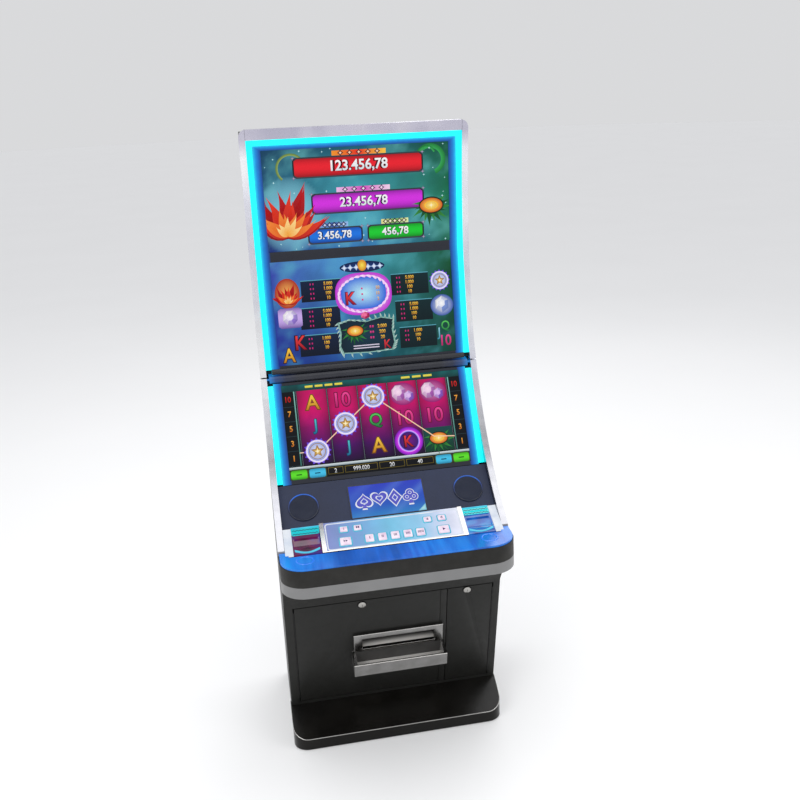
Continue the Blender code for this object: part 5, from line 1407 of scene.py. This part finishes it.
screw = [(0.0001, 0.0016), (0.0022, 0.0015), (0.0038, 0.0008), (0.0042, -0.0004), (0.0001, -0.0004)]
screw_spots = [(x, z) for x in (-0.288, 0.288) for z in (0.06, 0.42, 0.78, 1.14, 1.46, 1.77)]
screw_spots += [(x, z) for x in (-0.10, 0.10) for z in (0.06, 1.77)]
screw_spots += [(INLET_X, 0.1655), (INLET_X, 0.2345)]
screw_spots += [(FAN_X + dx, FAN_Z + dz) for dx in (-0.047, 0.047) for dz in (-0.047, 0.047)]
screw_places = [Matrix.Translation((x, REAR + (0.0016 if x == INLET_X else 0.0002), z)) @ REAR_VIEW
                for x, z in screw_spots]
add("rear_screws", lathe(screw, 14, screw_places), ZINC, "cabinet", "zinc_steel", smooth=True)
pins = [((x - 0.0010, 0.3170, z - 0.0022), (x + 0.0010, 0.3270, z + 0.0022))
        for x, z in ((INLET_X - 0.007, 0.186), (INLET_X + 0.007, 0.186), (INLET_X, 0.180))]
add("inlet_pins", bars(pins), ZINC, "cabinet", "black_plastic", bevel=0.0003)


def slot_marks(name, low, high, count, axis=0, slot="black_plastic", material=MOULDED):
    """A row of thin raised bars on a unit's face, between two corners."""
    step = (high[axis] - low[axis]) / count
    boxes = []
    for i in range(count):
        start, end = list(low), list(high)
        start[axis] = low[axis] + step * i
        end[axis] = start[axis] + step * 0.45
        boxes.append((start, end))
    add(name, bars(boxes), material, "cabinet", slot)


slot_marks("logic_box_vents", (-0.120, 0.2274, 0.880), (0.120, 0.2282, 0.935), 20)
slot_marks("logic_box_ports", (-0.110, 0.2268, 0.720), (0.060, 0.2282, 0.732), 7)
slot_marks("power_supply_vents", (-0.262, 0.1794, 0.060), (-0.180, 0.1802, 0.112), 10)
slot_marks("cash_box_ribs", (0.1960, 0.0594, 0.100), (0.2700, 0.0602, 0.220), 5, 2, "unit_case",
           UNIT_GREY)

# Covers on the displays' backs: the face, how far down its middle is, and the body.
DISPLAY_BACK = -0.0386
for name, face, middle, body in (("upper", UPPER_FACE, 0.1765, "display_door"),
                                 ("middle", MIDDLE_FACE, 0.1677, "display_door"),
                                 ("lower", LID_FACE, 0.1490, "player_lid")):
    back = placed(face, 0.0, middle, DISPLAY_BACK)
    cover = bars([((-0.150, -0.070, -0.0060), (0.150, 0.070, 0.0002)),
                  ((-0.235, -0.012, -0.0030), (-0.165, 0.012, 0.0002)),
                  ((0.165, -0.012, -0.0030), (0.235, 0.012, 0.0002))], back)
    add(name + "_display_cover", cover, UNIT_GREY, body, "unit_case", bevel=0.0012)
    starts = [-0.130 + 0.011 * i for i in range(24)]
    vents = bars([((x, 0.020, -0.0066), (x + 0.005, 0.055, -0.0058)) for x in starts], back)
    add(name + "_display_vents", vents, MOULDED, body, "black_plastic")

# Stiffening ribs behind the pedestal's doors.
for name, door, boxes in (
        ("service_door_ribs", "service_door",
         [((-0.2560, -0.380, -0.0110), (-0.2440, -0.060, -0.0079)),
          ((-0.1400, -0.140, -0.0110), (0.1300, -0.128, -0.0079))]),
        ("cash_door_rib", "cash_door", [((0.2150, -0.380, -0.0110), (0.2270, -0.060, -0.0079))])):
    add(name, bars(boxes, PEDESTAL_FACE), BLACK_PAINT, door, "black_metal", bevel=0.0006)

# ---------------------------------------------------------------- floor, lights and camera
FLOOR_RADIUS = 30.0
FLOOR_SIDES = 96
SKY_LOW, SKY_HIGH = (0.05, (0.87, 0.875, 0.89)), (0.70, (0.96, 0.97, 1.0))
SKY_STRENGTH = 0.80

disc = bmesh.new()
disc.faces.new([disc.verts.new((x, y, 0.0))
                for x, y in ring_points(0.0, 0.0, FLOOR_RADIUS, FLOOR_RADIUS, FLOOR_SIDES)])
floor = bpy.data.objects.new("studio_floor", from_bmesh(disc))
SCENE.collection.objects.link(floor)
floor.data.materials.append(floor_paper())

world = bpy.data.worlds.new("studio")
world.use_nodes = True
tree = world.node_tree
sky_place = tree.nodes.new("ShaderNodeTexCoord")
sky_split = tree.nodes.new("ShaderNodeSeparateXYZ")
sky_ramp = tree.nodes.new("ShaderNodeValToRGB")
background = tree.nodes["Background"]
tree.links.new(sky_place.outputs["Generated"], sky_split.inputs["Vector"])
tree.links.new(sky_split.outputs["Z"], sky_ramp.inputs["Fac"])
tree.links.new(sky_ramp.outputs["Color"], background.inputs["Color"])
for element, (height, colour) in zip(sky_ramp.color_ramp.elements, (SKY_LOW, SKY_HIGH)):
    element.position = height
    element.color = (*colour, 1.0)
background.inputs["Strength"].default_value = SKY_STRENGTH
SCENE.world = world


def softbox(name, place, aim, wide, tall, power):
    light = bpy.data.lights.new(name, "AREA")
    light.shape = "RECTANGLE"
    light.size = wide
    light.size_y = tall
    light.energy = power
    item = bpy.data.objects.new(name, light)
    item.location = place
    item.rotation_euler = (Vector(aim) - Vector(place)).to_track_quat("-Z", "Y").to_euler()
    SCENE.collection.objects.link(item)


softbox("key", (-2.4, -2.6, 3.2), (0.0, 0.0, 0.9), 2.4, 2.4, 62.0)
softbox("fill", (3.0, -2.0, 2.4), (0.0, 0.0, 0.8), 2.0, 2.0, 30.0)
softbox("back", (1.5, 3.4, 3.4), (0.0, 0.0, 0.8), 2.0, 2.0, 26.0)
softbox("overhead", (0.0, 0.2, 4.4), (0.0, 0.0, 0.0), 4.0, 3.4, 80.0)

# The camera, as solved from the photo: where it stands, and its turn, dip and lean in degrees.
EYE = (-0.3557, -2.7892, 1.9843)
TURN, DIP, LEAN = 11.0, 17.0, -2.2

camera_data = bpy.data.cameras.new("camera")
camera_data.lens = 46.0
camera_data.shift_x = -0.05
camera_data.shift_y = -0.03
camera_data.sensor_width = 36.0
camera = bpy.data.objects.new("camera", camera_data)
SCENE.collection.objects.link(camera)
turn, dip, lean = (math.radians(angle) for angle in (TURN, DIP, LEAN))
ahead = Vector((math.sin(turn) * math.cos(dip), math.cos(turn) * math.cos(dip), -math.sin(dip)))
right = ahead.cross(Vector((0.0, 0.0, 1.0))).normalized()
up = right.cross(ahead)
tilted = right * math.cos(lean) + up * math.sin(lean)
upright = up * math.cos(lean) - right * math.sin(lean)
camera.matrix_world = Matrix([[tilted[i], upright[i], -ahead[i], EYE[i]] for i in range(3)]
                             + [[0, 0, 0, 1]])
SCENE.camera = camera
SCENE.view_settings.view_transform = "Standard"
